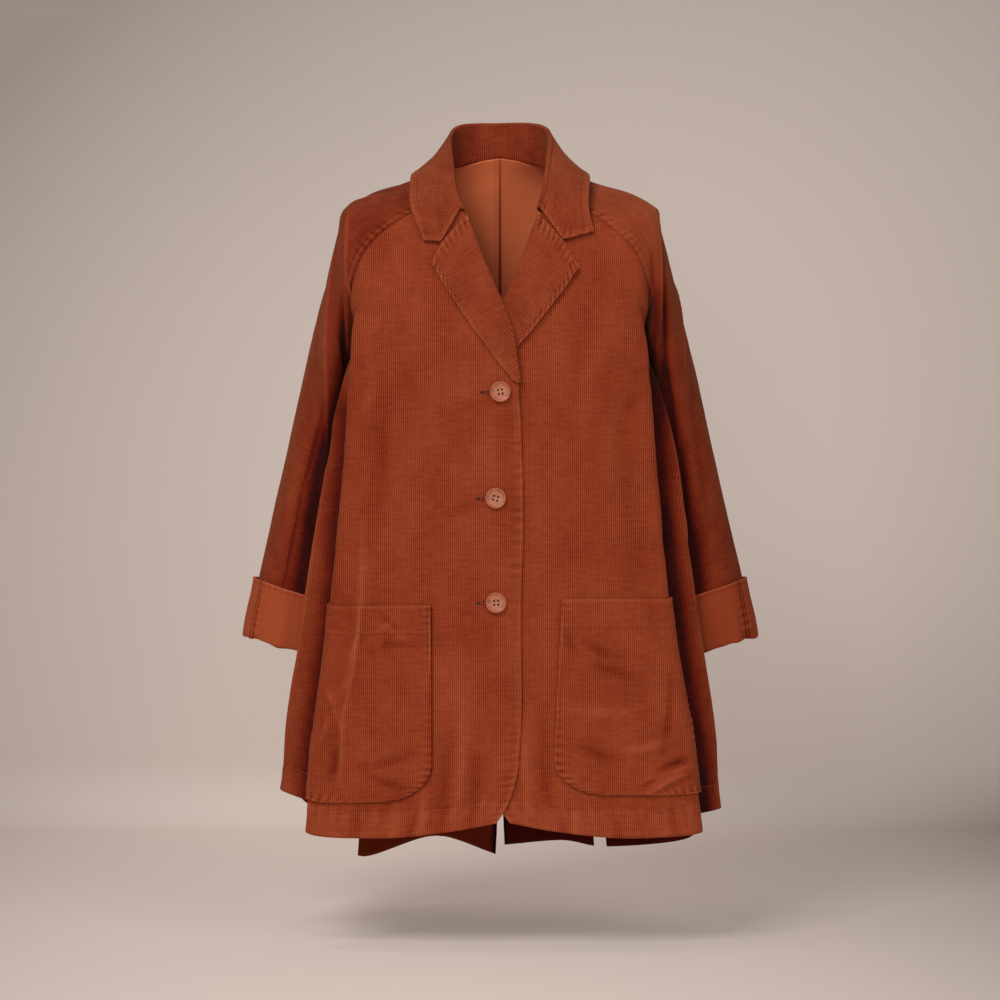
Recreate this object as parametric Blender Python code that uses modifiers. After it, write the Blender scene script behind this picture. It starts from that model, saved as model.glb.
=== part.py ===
"""A worn-form corduroy swing jacket: raglan sleeves, notched collar, three buttons, patch pockets.

Metres, +Z up, the front faces -Y. The origin is the middle of the shoulder line, where a wearer
carries the jacket. In each table x is the distance from the centre line towards the piece's own
side, so one set of rows shapes both halves. Side +1 is the wearer's left and lies at +X.
"""

import math

import bmesh
import bpy
import numpy as np

# ---- driving dimensions ---------------------------------------------------------------------
WALL = 0.0022  # thickness of the corduroy
DOUBLE_WALL = 0.0028  # collar, lapels and turned cuffs, where two layers lie together
SEAM_GAP = 0.0005  # what pieces keep between them at a seam
LAYER_STEP = 0.0019  # how far each front moves out or in where the fronts lap
LAPEL_STEP = 0.0020  # and how much further where a lapel lies between them
LAP_FADE = (0.032, 0.078)  # distances from the centre over which the steps fade
FRONT_LEAN = 0.0035  # how far the closing lies off the centre line

LAPEL_LIFT = 0.0060  # from the front's middle to the lapel's
LAPEL_END_LIFT = 0.0034
LAPEL_FOLD_REACH = 0.0030
LAPEL_FOLD_START = 0.35  # share of a column by which the fold's first line is turned already
LAPEL_BOW = 0.0035  # how far the lapel's outer edge swells
LEAF_STEP = 0.0034  # from the middle of the collar stand to that of the leaf, at the fold

CUFF_DEPTH = 0.063
CUFF_STAND_OFF = 0.0056
# A cuff's section: its distance out from the sleeve and up from the sleeve's end.
CUFF_TURN = ((0.0, -0.0024), (0.0022, -0.0040), (0.0050, -0.0024), (CUFF_STAND_OFF, 0.004))
CUFF_SHARES = (0.35, 0.68, 1.0)  # of its depth, where the upper rings lie

POCKET_WIDTH = 0.166
POCKET_DEPTH = 0.2330
POCKET_CORNER_WIDTH = 0.058
POCKET_CORNER_HEIGHT = 0.044
POCKET_LIFT = 0.0035
POCKET_CROWDING = 0.6  # 0 spaces a pocket's rows evenly, more crowds them at the round corners

BUTTON_RADIUS = 0.0125
BUTTON_RIM = 0.0023
BUTTON_THICKNESS = 0.0042
BUTTON_HOLE_RADIUS = 0.0011
BUTTON_HOLE_OFFSET = 0.0024  # from the button's middle along each axis
BUTTON_SHANK = 0.0014  # thread that keeps the button off the cloth

NECK_STAND = 0.0038  # how far the collar stand's lower edge lies above the neckline
VENT_ROWS = 2  # rows that the slits take up from the hem
SLIT_WIDTH = 0.017
SLIT_TOP_WIDTH = 0.007
CENTRE_VENT = 0.0062  # half the width of the centre-back vent at the hem

# Shares of the way from one named point of a row to the next.
LAP_SHARE = 0.22  # front edge to fold: how far the lapped strip reaches
CHEST_SHARE = 0.6  # front edge to fold: where the chest's point lies
CHEST_BOW = 0.25  # and how far it has come back from the edge's depth to the fold's
HOLLOW_DROP = 0.45  # side seam to back corner: how far down the hollow lies
CORNER_DROP = 0.75  # side seam to slit: how far down the corner lies

RUST = (0.275, 0.052, 0.016)
RUST_REVERSE = (0.33, 0.075, 0.026)
BUTTON_BROWN = (0.50, 0.20, 0.11)

# ---- grid -----------------------------------------------------------------------------------
LOW_ROWS = 15  # rows from hem to underarm
HIGH_ROWS = 10  # rows from underarm to neckline, one sleeve column for each
ROWS = LOW_ROWS + HIGH_ROWS
FRONT_SPANS = (2, 2, 3, 2, 3, 3)  # columns between the named points of a front row
BACK_SPANS = (3, 3, 2, 1, 2, 3)
SLIT_COLUMN = 8
SLEEVE_SPANS = (4, 1, 2, 2, 2, 2, 2, 1)  # rows between the rings of a sleeve
OVERARM_COLUMN = HIGH_ROWS + 1  # the seam along the arm leaves the neckline here
COLLAR_SPANS = (3, 3, 3, 3, 3, 3)
STAND_ROWS = 3
LEAF_SPANS = (2, 2)
LAPEL_ROWS = 11
LAPEL_ARC = 2  # columns round the lapel's fold
LAPEL_SPANS = (3, 2)  # columns from the fold to the notch line and on to the outer edge
POCKET_SPANS = (7, 4)  # columns before and behind the front fold
POCKET_ROWS = 11


class Table:
    """Rows of named columns: at(name, place) follows a smooth line through a column."""

    def __init__(self, columns, *rows):
        self.columns = columns.split()
        self.values = np.array([row[1:] for row in rows], float)

    def __getitem__(self, column):
        return self.values[:, self.columns.index(column)]

    def at(self, column, place):
        return float(through(self.values[:, 0], self[column], place))

    def row_at(self, place):
        return {name: self.at(name, place) for name in self.columns[1:]}

    def rows(self):
        return [dict(zip(self.columns, values)) for values in self.values]


def tangent(knots, values, i):
    """Slope at knot i, as of the parabola through it and its neighbours."""
    if i == 0:
        return (values[1] - values[0]) / (knots[1] - knots[0])
    if i == len(knots) - 1:
        return (values[-1] - values[-2]) / (knots[-1] - knots[-2])
    before, after = knots[i] - knots[i - 1], knots[i + 1] - knots[i]
    back, ahead = (values[i] - values[i - 1]) / before, (values[i + 1] - values[i]) / after
    return (back * after + ahead * before) / (before + after)


def through(knots, values, place):
    """Value at place of a smooth curve that passes through values at knots."""
    knots, values = np.asarray(knots, float), np.asarray(values, float)
    i = int(np.clip(np.searchsorted(knots, place, side="right") - 1, 0, len(knots) - 2))
    width = knots[i + 1] - knots[i]
    t = (place - knots[i]) / width
    start, end = tangent(knots, values, i), tangent(knots, values, i + 1)
    return (
        (2 * t**3 - 3 * t**2 + 1) * values[i]
        + (t**3 - 2 * t**2 + t) * width * start
        + (3 * t**2 - 2 * t**3) * values[i + 1]
        + (t**3 - t**2) * width * end
    )


def curve(points, spans):
    """Points along a smooth curve through the given ones, spans[i] steps between i and i + 1."""
    points = np.asarray(points, float)
    steps = np.sqrt(np.linalg.norm(np.diff(points, axis=0), axis=1) + 1e-9)
    knots = np.concatenate([[0], np.cumsum(steps)])
    places = [
        knots[i] + (knots[i + 1] - knots[i]) * k / span
        for i, span in enumerate(spans)
        for k in range(span)
    ]
    return np.array([through(knots, points, place) for place in [*places, knots[-1]]])


def fade(value, start, end):
    """1 at start, 0 at end and smooth between."""
    t = np.clip((value - end) / (start - end), 0, 1)
    return t * t * (3 - 2 * t)


def along(line, places):
    """Points of a polyline at the given distances from its start."""
    reached = np.concatenate([[0], np.cumsum(np.linalg.norm(np.diff(line, axis=0), axis=1))])
    return np.stack([np.interp(places, reached, line[:, k]) for k in range(3)], axis=1)


def length(line):
    return float(np.linalg.norm(np.diff(line, axis=0), axis=1).sum())


def unit(vectors):
    return vectors / np.linalg.norm(vectors, axis=-1, keepdims=True)


# ---- the body's sections --------------------------------------------------------------------
# A front row runs from the front edge over the chest to the front fold, into the valley behind
# it, over the side lobe and back to the side seam or, above the underarm, the raglan seam.
FRONT_HEIGHTS = Table(
    "row z_edge z_chest z_fold z_side",
    ("hem", 0, -0.7850, -0.8040, -0.7930, -0.7690),
    ("rise", 1, -0.7650, -0.7760, -0.7720, -0.7450),
    ("low", 3, -0.7000, -0.7040, -0.7040, -0.6800),
    ("cuffs", 6, -0.5900, -0.5900, -0.5900, -0.5720),
    ("waist", 9, -0.4500, -0.4500, -0.4500, -0.4400),
    ("midriff", 12, -0.3200, -0.3200, -0.3200, -0.3200),
    ("bust", 14, -0.2150, -0.2180, -0.2200, -0.2360),
    ("underarm", 15, -0.1800, -0.1830, -0.1880, -0.2050),
    ("armhole", 17, -0.1580, -0.1590, -0.1600, -0.1870),
    ("chest", 19, -0.1360, -0.1360, -0.1360, -0.1520),
    ("yoke", 21, -0.0980, -0.0970, -0.0960, -0.1040),
    ("collar", 23, -0.0700, -0.0660, -0.0620, -0.0650),
    ("neck", 25, -0.0480, -0.0430, -0.0380, -0.0220),
)
FRONT = Table(
    "row edge_y fold_x fold_y valley_x valley_y lobe_x lobe_y seam_x seam_y",
    ("hem", 0, -0.165, 0.237, -0.132, 0.214, -0.092, 0.270, -0.040, 0.252, 0.030),
    ("rise", 1, -0.163, 0.233, -0.132, 0.210, -0.092, 0.266, -0.042, 0.246, 0.026),
    ("low", 3, -0.158, 0.226, -0.130, 0.202, -0.092, 0.260, -0.048, 0.228, 0.014),
    ("cuffs", 6, -0.150, 0.209, -0.125, 0.188, -0.090, 0.243, -0.056, 0.194, -0.006),
    ("waist", 9, -0.142, 0.194, -0.118, 0.174, -0.086, 0.225, -0.060, 0.170, -0.008),
    ("midriff", 12, -0.136, 0.182, -0.111, 0.166, -0.082, 0.203, -0.056, 0.153, -0.006),
    ("bust", 14, -0.130, 0.175, -0.104, 0.170, -0.078, 0.180, -0.042, 0.153, 0.005),
    ("underarm", 15, -0.126, 0.173, -0.100, 0.171, -0.080, 0.170, -0.040, 0.160, 0.010),
    ("armhole", 17, -0.120, 0.165, -0.106, 0.171, -0.095, 0.175, -0.074, 0.175, -0.040),
    ("chest", 19, -0.114, 0.150, -0.110, 0.165, -0.107, 0.176, -0.100, 0.181, -0.086),
    ("yoke", 21, -0.101, 0.118, -0.106, 0.136, -0.108, 0.152, -0.108, 0.167, -0.105),
    ("collar", 23, -0.088, 0.086, -0.092, 0.101, -0.096, 0.115, -0.098, 0.131, -0.098),
    ("neck", 25, -0.078, 0.054, -0.070, 0.059, -0.062, 0.063, -0.053, 0.067, -0.044),
)

# The front edge by height and, above the top button, the roll line on which the lapel turns.
EDGE = Table(
    "z x",
    ("hem", -0.7850, 0.0080),
    ("corner", -0.7715, -0.0013),
    ("corner", -0.7540, -0.0096),
    ("corner", -0.7330, -0.0161),
    ("skirt", -0.6860, -0.0208),
    ("skirt", -0.5310, -0.0217),
    ("waist", -0.4240, -0.0241),
    ("chest", -0.2926, -0.0208),
    ("break", -0.2580, -0.0185),
    ("roll", -0.2300, -0.0145),
    ("roll", -0.2015, -0.0099),
    ("roll", -0.1725, -0.0002),
    ("roll", -0.1310, 0.0176),
    ("roll", -0.0966, 0.0315),
    ("gorge", -0.0480, 0.0478),
)

# How the two sides differ at the hem: outwards, backwards and upwards from the rows' own points.
HEM = Table(
    "side fold_out side_up corner_out corner_up slit_in slit_up step_up pipe_out pipe_up centre_up",
    ("left", +1, 0.005, -0.012, 0.030, -0.004, 0.026, 0.005, 0.000, 0.004, 0.010, 0.006),
    ("right", -1, -0.004, 0.011, 0.000, 0.022, -0.036, -0.005, 0.022, 0.026, 0.014, -0.006),
)

# A back row runs from the side or raglan seam along the hollow beside the arm, over the back
# corner to the slit, the deepest pipe of the back and the centre back.
BACK_HEIGHTS = Table(
    "row z_seam z_slit z_centre",
    ("hem", 0, -0.7690, -0.8605, -0.8600),
    ("rise", 1, -0.7450, -0.8180, -0.8160),
    ("low", 3, -0.6800, -0.7300, -0.7260),
    ("cuffs", 6, -0.5720, -0.6000, -0.5980),
    ("waist", 9, -0.4400, -0.4500, -0.4500),
    ("midriff", 12, -0.3200, -0.3100, -0.3100),
    ("bust", 14, -0.2360, -0.2000, -0.2000),
    ("underarm", 15, -0.2050, -0.1600, -0.1550),
    ("armhole", 17, -0.1880, -0.1300, -0.1250),
    ("chest", 19, -0.1520, -0.1050, -0.0950),
    ("yoke", 21, -0.0920, -0.0500, -0.0420),
    ("collar", 23, -0.0350, -0.0010, 0.0060),
    ("neck", 25, 0.0180, 0.0280, 0.0360),
)
BACK = Table(
    "row hollow_x hollow_y corner_x corner_y slit_x slit_y pipe_x pipe_y centre_y seam_x seam_y",
    ("hem", 0, 0.252, 0.088, 0.214, 0.150, 0.158, 0.176, 0.085, 0.198, 0.188, 0.252, 0.030),
    ("rise", 1, 0.246, 0.086, 0.210, 0.148, 0.154, 0.172, 0.083, 0.192, 0.183, 0.246, 0.026),
    ("low", 3, 0.226, 0.080, 0.204, 0.142, 0.147, 0.164, 0.080, 0.181, 0.174, 0.228, 0.014),
    ("cuffs", 6, 0.184, 0.062, 0.190, 0.128, 0.138, 0.153, 0.075, 0.166, 0.162, 0.194, -0.006),
    ("waist", 9, 0.163, 0.048, 0.176, 0.116, 0.127, 0.142, 0.069, 0.151, 0.150, 0.170, -0.008),
    ("midriff", 12, 0.150, 0.042, 0.164, 0.108, 0.120, 0.132, 0.064, 0.138, 0.139, 0.153, -0.006),
    ("bust", 14, 0.152, 0.046, 0.166, 0.108, 0.118, 0.127, 0.062, 0.131, 0.132, 0.153, 0.005),
    ("underarm", 15, 0.161, 0.050, 0.168, 0.104, 0.118, 0.124, 0.062, 0.128, 0.129, 0.160, 0.010),
    ("armhole", 17, 0.170, 0.072, 0.168, 0.104, 0.118, 0.119, 0.062, 0.124, 0.125, 0.174, 0.046),
    ("chest", 19, 0.172, 0.096, 0.160, 0.108, 0.112, 0.115, 0.060, 0.118, 0.119, 0.181, 0.082),
    ("yoke", 21, 0.144, 0.108, 0.126, 0.107, 0.088, 0.102, 0.048, 0.104, 0.105, 0.158, 0.104),
    ("collar", 23, 0.096, 0.087, 0.084, 0.086, 0.062, 0.085, 0.034, 0.086, 0.087, 0.108, 0.088),
    ("neck", 25, 0.056, 0.051, 0.051, 0.055, 0.040, 0.062, 0.022, 0.067, 0.070, 0.060, 0.046),
)

# ---- the sleeve's rings ---------------------------------------------------------------------
# Each ring is given by its outermost and innermost points and by how far it reaches forwards
# and backwards of mid_y. A squareness of 2 is an ellipse.
SLEEVE = Table(
    "outer_x outer_z inner_x inner_z mid_y reach_front reach_back squareness",
    ("shoulder", 0.1905, -0.0350, 0.186, -0.2270, 0.008, 0.100, 0.100, 2.5),
    ("cap", 0.2005, -0.0650, 0.190, -0.2380, 0.012, 0.092, 0.092, 2.3),
    ("upper arm", 0.2220, -0.1500, 0.192, -0.2680, 0.018, 0.083, 0.082, 2.2),
    ("biceps", 0.2405, -0.2250, 0.193, -0.3050, 0.028, 0.075, 0.072, 2.2),
    ("above elbow", 0.2600, -0.3080, 0.192, -0.3500, 0.038, 0.068, 0.064, 2.2),
    ("elbow", 0.2850, -0.4150, 0.196, -0.4480, 0.045, 0.062, 0.058, 2.2),
    ("forearm", 0.3050, -0.5000, 0.204, -0.5320, 0.050, 0.057, 0.055, 2.2),
    ("hem", 0.3175, -0.5600, 0.211, -0.5930, 0.052, 0.054, 0.054, 2.2),
)
# How far round the sleeve's first rings each row of the armhole lies, in degrees from the inside.
TURNS = Table(
    "row turn",
    ("underarm", 15, 0),
    ("armhole", 17, 38),
    ("chest", 19, 80),
    ("yoke", 21, 112),
    ("collar", 23, 138),
    ("neck", 25, 163),
)
SADDLE_LIFT = 0.006  # how far the top of the sleeve rises between neck and shoulder
NECK_MIDDLE = (0.0710, 0.0120, 0.0020)  # where the sleeve reaches the side of the neck

# ---- collar and lapels ----------------------------------------------------------------------
# Stations from the gorge to the centre back. along is the share of the neckline behind the
# gorge; the leaf turns down at the fold and passes through a middle line to its outer edge.
COLLAR = Table(
    "along fold_x fold_y fold_z mid_x mid_y mid_z edge_x edge_y edge_z",
    ("gorge", 0.00, 0.0462, -0.0850, -0.0450, 0.0740, -0.1010, -0.0850, 0.1030, -0.1090, -0.0790),
    ("front", 0.14, 0.0530, -0.0690, -0.0190, 0.0830, -0.0900, -0.0400, 0.1080, -0.0960, -0.0450),
    ("side front", 0.33, 0.0585, -0.0290, 0.0220, 0.0860, -0.0380, 0.0060, 0.1105, -0.0420, -0.0060),
    ("side", 0.50, 0.0612, 0.0120, 0.0530, 0.0830, 0.0180, 0.0310, 0.1070, 0.0250, 0.0095),
    ("side back", 0.70, 0.0530, 0.0500, 0.0710, 0.0720, 0.0660, 0.0400, 0.0890, 0.0810, 0.0100),
    ("back", 0.86, 0.0290, 0.0740, 0.0780, 0.0370, 0.0900, 0.0450, 0.0440, 0.0990, 0.0120),
    ("centre back", 1.00, 0.0, 0.0800, 0.0790, 0.0, 0.0960, 0.0460, 0.0, 0.1050, 0.0130),
)
NOTCH = {+1: (0.0770, -0.0845), -1: (0.0712, -0.0860)}  # x and z where collar and lapel part
COLLAR_POINT = {+1: (0.1140, -0.0745), -1: (0.0925, -0.0850)}
LAPEL_POINT = {+1: (0.0960, -0.1195), -1: (0.0845, -0.1120)}
POCKETS = Table(
    "side bottom low_inner high_inner",
    ("right", -1, -0.7600, 0.0800, 0.0815),
    ("left", +1, -0.7520, 0.0625, 0.0742),
)
LAPEL_END = (-0.0150, -0.2560)  # where the lapel's edge comes down to the front edge
GORGE_GAP = (0.0006, 0.0010)  # x and z between lapel and collar at the notch
LAPEL_TOP = -0.0540  # height on the roll line where the lapel starts
ROLL_END = -0.2600
BUTTONS = Table(
    "x z",
    ("top", -0.0004, -0.2703),
    ("middle", 0.0052, -0.3982),
    ("bottom", 0.0046, -0.5232),
)


def lap_step(x, z, side):
    """How far a front moves out (wearer's right) or in (left), where it laps the other."""
    lapel = fade(abs(z + 0.2), 0.05, 0.11) * LAPEL_STEP
    return side * (LAYER_STEP + lapel) * fade(x, *LAP_FADE)


def hem_lean(side):
    """The row of HEM for a side, by name."""
    return next(row for row in HEM.rows() if row["side"] == side)


def front_row(row, side):
    """The named points of a front row, from the front edge to the seam."""
    height = FRONT_HEIGHTS.row_at(row)
    at = FRONT.row_at(row)
    hem = hem_lean(side)
    skirt = fade(row, 0, LOW_ROWS - 3)
    side_z = height["z_side"] + hem["side_up"] * skirt
    edge_x = EDGE.at("x", height["z_edge"]) + FRONT_LEAN * side
    fold_x = at["fold_x"] + hem["fold_out"] * skirt
    lap_x = edge_x + (fold_x - edge_x) * LAP_SHARE
    chest_x = edge_x + (fold_x - edge_x) * CHEST_SHARE
    chest_y = at["edge_y"] + (at["fold_y"] - at["edge_y"]) * CHEST_BOW
    points = np.array(
        [
            (edge_x, at["edge_y"], height["z_edge"]),
            (lap_x, at["edge_y"], (height["z_edge"] + height["z_chest"]) / 2),
            (chest_x, chest_y, height["z_chest"]),
            (fold_x, at["fold_y"], height["z_fold"]),
            (at["valley_x"], at["valley_y"], (height["z_fold"] + side_z) / 2),
            (at["lobe_x"], at["lobe_y"], side_z),
            (at["seam_x"], at["seam_y"], side_z),
        ]
    )
    points[:, 1] += lap_step(points[:, 0], points[:, 2], side)
    return points


def front_surface(side):
    """Grid of points of one front, hem row first, front edge first."""
    return np.array([curve(front_row(row, side), FRONT_SPANS) for row in range(ROWS + 1)])


def back_row(row, side):
    """The named points of a back row, from the seam to the centre back."""
    height = BACK_HEIGHTS.row_at(row)
    at = BACK.row_at(row)
    if row <= LOW_ROWS:  # the side seam is the front's
        at |= {name: FRONT.at(name, row) for name in ("seam_x", "seam_y")}
        height["z_seam"] = FRONT_HEIGHTS.at("z_side", row)
    hem = hem_lean(side)
    skirt = fade(row, 0, LOW_ROWS - 3)
    low = fade(row, 0, VENT_ROWS + 1)
    gap = (SLIT_TOP_WIDTH + (SLIT_WIDTH - SLIT_TOP_WIDTH) * fade(row, 0, VENT_ROWS)) / 2
    slit_x = at["slit_x"] - hem["slit_in"] * skirt
    slope = (at["pipe_y"] - at["corner_y"]) / (at["corner_x"] - at["pipe_x"])
    slit_y = at["slit_y"] + slope * hem["slit_in"] * skirt
    z_seam = height["z_seam"] + hem["side_up"] * skirt
    z_slit = height["z_slit"] + hem["slit_up"] * low
    z_corner = z_seam + (z_slit - z_seam) * CORNER_DROP + hem["corner_up"] * low
    z_pipe = (height["z_slit"] + height["z_centre"]) / 2 + hem["pipe_up"] * low
    z_centre = height["z_centre"] + hem["centre_up"] * low
    vent_x = CENTRE_VENT * max(0, 1 - row / (VENT_ROWS + 1))
    return np.array(
        [
            (at["seam_x"], at["seam_y"], z_seam),
            (at["hollow_x"], at["hollow_y"], z_seam + (z_corner - z_seam) * HOLLOW_DROP),
            (at["corner_x"] + hem["corner_out"] * skirt, at["corner_y"], z_corner),
            (slit_x + gap, slit_y - slope * gap, z_slit + hem["step_up"] * low),
            (slit_x - gap, slit_y + slope * gap, z_slit),
            (at["pipe_x"], at["pipe_y"] + hem["pipe_out"] * skirt, z_pipe),
            (vent_x, at["centre_y"], z_centre),
        ]
    )


def back_surface(side):
    return np.array([curve(back_row(row, side), BACK_SPANS) for row in range(ROWS + 1)])


def sleeve_surface(front, back):
    """Grid of one sleeve: rows from the raglan seam to the hem, columns round it.

    Columns start at the underarm, climb the front seam, cross the neckline and come down the
    back seam, so that the first row is the body's own seam points.
    """
    front_seam, back_seam = front[LOW_ROWS:, -1], back[LOW_ROWS:, 0]
    ring = np.concatenate([front_seam, [NECK_MIDDLE], back_seam[::-1]])
    climb = [TURNS.at("turn", row) for row in range(LOW_ROWS, ROWS + 1)]
    turns = np.radians([*climb, 180, *(360 - np.array(climb[::-1]))])
    even = np.linspace(0, 2 * math.pi, len(turns))
    rings = [ring]
    for number, values in enumerate(SLEEVE.rows()):
        eased = fade(number, len(SLEEVE.values) - 1, 1)
        rings.append(sleeve_ring(values, turns + (even - turns) * eased))
    rings = np.array(rings)
    grid = np.stack([curve(rings[:, k], SLEEVE_SPANS) for k in range(len(turns))], axis=1)
    top = np.clip(-np.cos(turns), 0, 1) ** 2
    for row in range(1, SLEEVE_SPANS[0]):
        grid[row, :, 2] += SADDLE_LIFT * math.sin(math.pi * row / SLEEVE_SPANS[0]) * top
    return grid


def sleeve_ring(ring, turns):
    """Points round one ring, from its innermost point over the front."""
    outer = np.array((ring["outer_x"], ring["mid_y"], ring["outer_z"]))
    inner = np.array((ring["inner_x"], ring["mid_y"], ring["inner_z"]))
    centre, half = (outer + inner) / 2, (inner - outer) / 2
    power = 2 / ring["squareness"]
    points = []
    for turn in turns:
        inward = math.copysign(abs(math.cos(turn)) ** power, math.cos(turn))
        ahead = math.copysign(abs(math.sin(turn)) ** power, math.sin(turn))
        reach = ring["reach_front"] if ahead > 0 else ring["reach_back"]
        points.append(centre + half * inward - np.array((0, reach * ahead, 0)))
    return points


# ---- what lies on the panels ----------------------------------------------------------------
def depth_on(grid, x, z):
    """The y of a panel at x and z, read from the triangles of its grid."""
    a, b, c, d = grid[:-1, :-1], grid[:-1, 1:], grid[1:, 1:], grid[1:, :-1]
    corners = np.stack([np.concatenate([a, a]), np.concatenate([b, c]), np.concatenate([c, d])])
    p, q, r = corners.reshape(3, -1, 3)
    place = np.array((x, z))
    flat = [point[:, (0, 2)] - place for point in (p, q, r)]
    areas = np.stack([cross(flat[1], flat[2]), cross(flat[2], flat[0]), cross(flat[0], flat[1])])
    total = areas.sum(axis=0)
    shares = areas / np.where(np.abs(total) < 1e-12, 1e-12, total)
    best = int(np.argmax(shares.min(axis=0)))
    return float(sum(shares[k, best] * (p, q, r)[k][best, 1] for k in range(3)))


def cross(one, other):
    return one[:, 0] * other[:, 1] - one[:, 1] * other[:, 0]


def outer_line(side, share):
    """The x and z of the lapel's outer edge, from its point down to its end."""
    start, end = np.array(LAPEL_POINT[side]), np.array(LAPEL_END)
    bow = LAPEL_BOW * math.sin(math.pi * share)
    across = np.array((end[1] - start[1], start[0] - end[0]))
    return start + (end - start) * share - unit(across) * bow


def lapel_surface(front, side):
    """Grid of one lapel: rows from the gorge down, columns from the roll line outwards."""
    rows = []
    for k in range(LAPEL_ROWS + 1):
        share = k / LAPEL_ROWS
        roll_z = LAPEL_TOP + (ROLL_END - LAPEL_TOP) * share
        roll = np.array((EDGE.at("x", roll_z) + FRONT_LEAN * side, roll_z))
        outer = outer_line(side, share)
        notch = (np.array(NOTCH[side]) - GORGE_GAP) * (1 - share) + (roll + outer) / 2 * share
        lift = LAPEL_LIFT + (LAPEL_END_LIFT - LAPEL_LIFT) * share**2
        flat = curve([(*roll, 0), (*notch, 0), (*outer, 0)], LAPEL_SPANS)[:, :2]
        if k == 0:
            inner = LAPEL_SPANS[0]
            flat[:inner] = np.linspace(roll, notch, inner + 1)[:-1]
        out = [fold_point(front, roll, side, lift, turn) for turn in range(LAPEL_ARC)]
        out += [np.array((x, depth_on(front, x, z) - lift, z)) for x, z in flat]
        rows.append(out)
    return np.array(rows)


def fold_point(front, roll, side, lift, turn):
    """A point of the rounded fold between a front and its lapel."""
    angle = math.pi * (turn + LAPEL_FOLD_START) / (LAPEL_ARC + LAPEL_FOLD_START)
    reach = LAPEL_FOLD_REACH * math.sin(angle) * lift / LAPEL_LIFT
    depth = depth_on(front, roll[0] + 0.001, roll[1]) - lift * (1 - math.cos(angle)) / 2
    return np.array((roll[0] - reach - SEAM_GAP, depth, roll[1]))


def collar_lines(front, neckline, side):
    """The collar's seam, fold, middle and edge lines, gorge first and centre back last."""
    names = ("fold", "mid", "edge")
    fold, middle, edge = (np.stack([COLLAR[f"{name}_{axis}"] for axis in "xyz"], axis=1) for name in names)
    for line, (x, z) in ((middle, NOTCH[side]), (edge, COLLAR_POINT[side])):
        line[0] = (x, depth_on(front, x, z) - LAPEL_LIFT, z)
    seam = along(neckline, COLLAR["along"] * length(neckline))
    seam[:, 2] += NECK_STAND
    return [curve(line, COLLAR_SPANS) for line in (seam, fold, middle, edge)]


def away_from_neck(line):
    """Level unit vectors that point out of a collar line, away from the neck."""
    steps = np.gradient(line, axis=0)
    out = np.stack([steps[:, 1], -steps[:, 0], np.zeros(len(line))], axis=1)
    return unit(out)


def stand_surface(lines):
    seam, fold, _, _ = lines
    shares = np.linspace(0, 1, STAND_ROWS + 1)[:, None, None]
    return seam + (fold - seam) * shares


def leaf_surface(lines):
    _, fold, middle, edge = lines
    top = fold + away_from_neck(fold) * LEAF_STEP
    stations = [curve(points, LEAF_SPANS) for points in zip(top, middle, edge)]
    shares = [np.linspace(0, 1, span + 1)[:-1, None] for span in LEAF_SPANS]
    ends = ((top[0], middle[0]), (middle[0], edge[0]))
    straight = [start + (end - start) * share for (start, end), share in zip(ends, shares)]
    stations[0] = np.concatenate([*straight, edge[:1]])
    return np.stack(stations, axis=1)


def pocket_surface(front, side):
    """Grid of one pocket, from the front's own points moved out; its lower edge comes first."""
    steps = np.linspace(0, 1, POCKET_ROWS + 1)
    rises = POCKET_DEPTH * ((1 - POCKET_CROWDING) * steps + POCKET_CROWDING * steps**2)
    return np.array([pocket_row(front, rise, side) for rise in rises])


def pocket_row(front, rise, side):
    """Points across a pocket this far above its lower edge, measured on the cloth under it."""
    row = front_row_at(POCKETS.at("bottom", side) + rise)
    line, above = panel_row(front, row), panel_row(front, row + 0.5)
    share = rise / POCKET_DEPTH
    inner = POCKETS.at("low_inner", side) * (1 - share) + POCKETS.at("high_inner", side) * share
    reached = np.concatenate([[0], np.cumsum(np.linalg.norm(np.diff(line, axis=0), axis=1))])
    fold_column = sum(FRONT_SPANS[:3])
    start = float(np.interp(inner, line[:fold_column, 0], reached[:fold_column]))
    inset, fold = corner_inset(rise), reached[fold_column]
    end = start + POCKET_WIDTH - inset
    before = np.linspace(start + inset, fold, POCKET_SPANS[0] + 1)[:-1]
    places = np.concatenate([before, np.linspace(fold, max(end, fold + 0.004), POCKET_SPANS[1] + 1)])
    points = along(line, places)
    across = unit(along(line, places + 0.006) - along(line, places - 0.006))
    upward = unit(along(above, places) - points)
    return points + unit(np.cross(across, upward)) * POCKET_LIFT


def panel_row(panel, row):
    """Points across a panel's grid at any row, between its own rows."""
    low = min(int(row), len(panel) - 2)
    return panel[low] + (panel[low + 1] - panel[low]) * (row - low)


def front_row_at(z):
    """The front's row whose chest lies at height z."""
    rows = np.linspace(0, LOW_ROWS, 121)
    return float(np.interp(z, [FRONT_HEIGHTS.at("z_chest", row) for row in rows], rows))


def corner_inset(rise):
    """How far the pocket's rounded lower corners are cut back, this far above its lower edge."""
    if rise >= POCKET_CORNER_HEIGHT:
        return 0.0
    return POCKET_CORNER_WIDTH * (1 - math.sqrt(1 - (1 - rise / POCKET_CORNER_HEIGHT) ** 2))


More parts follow.
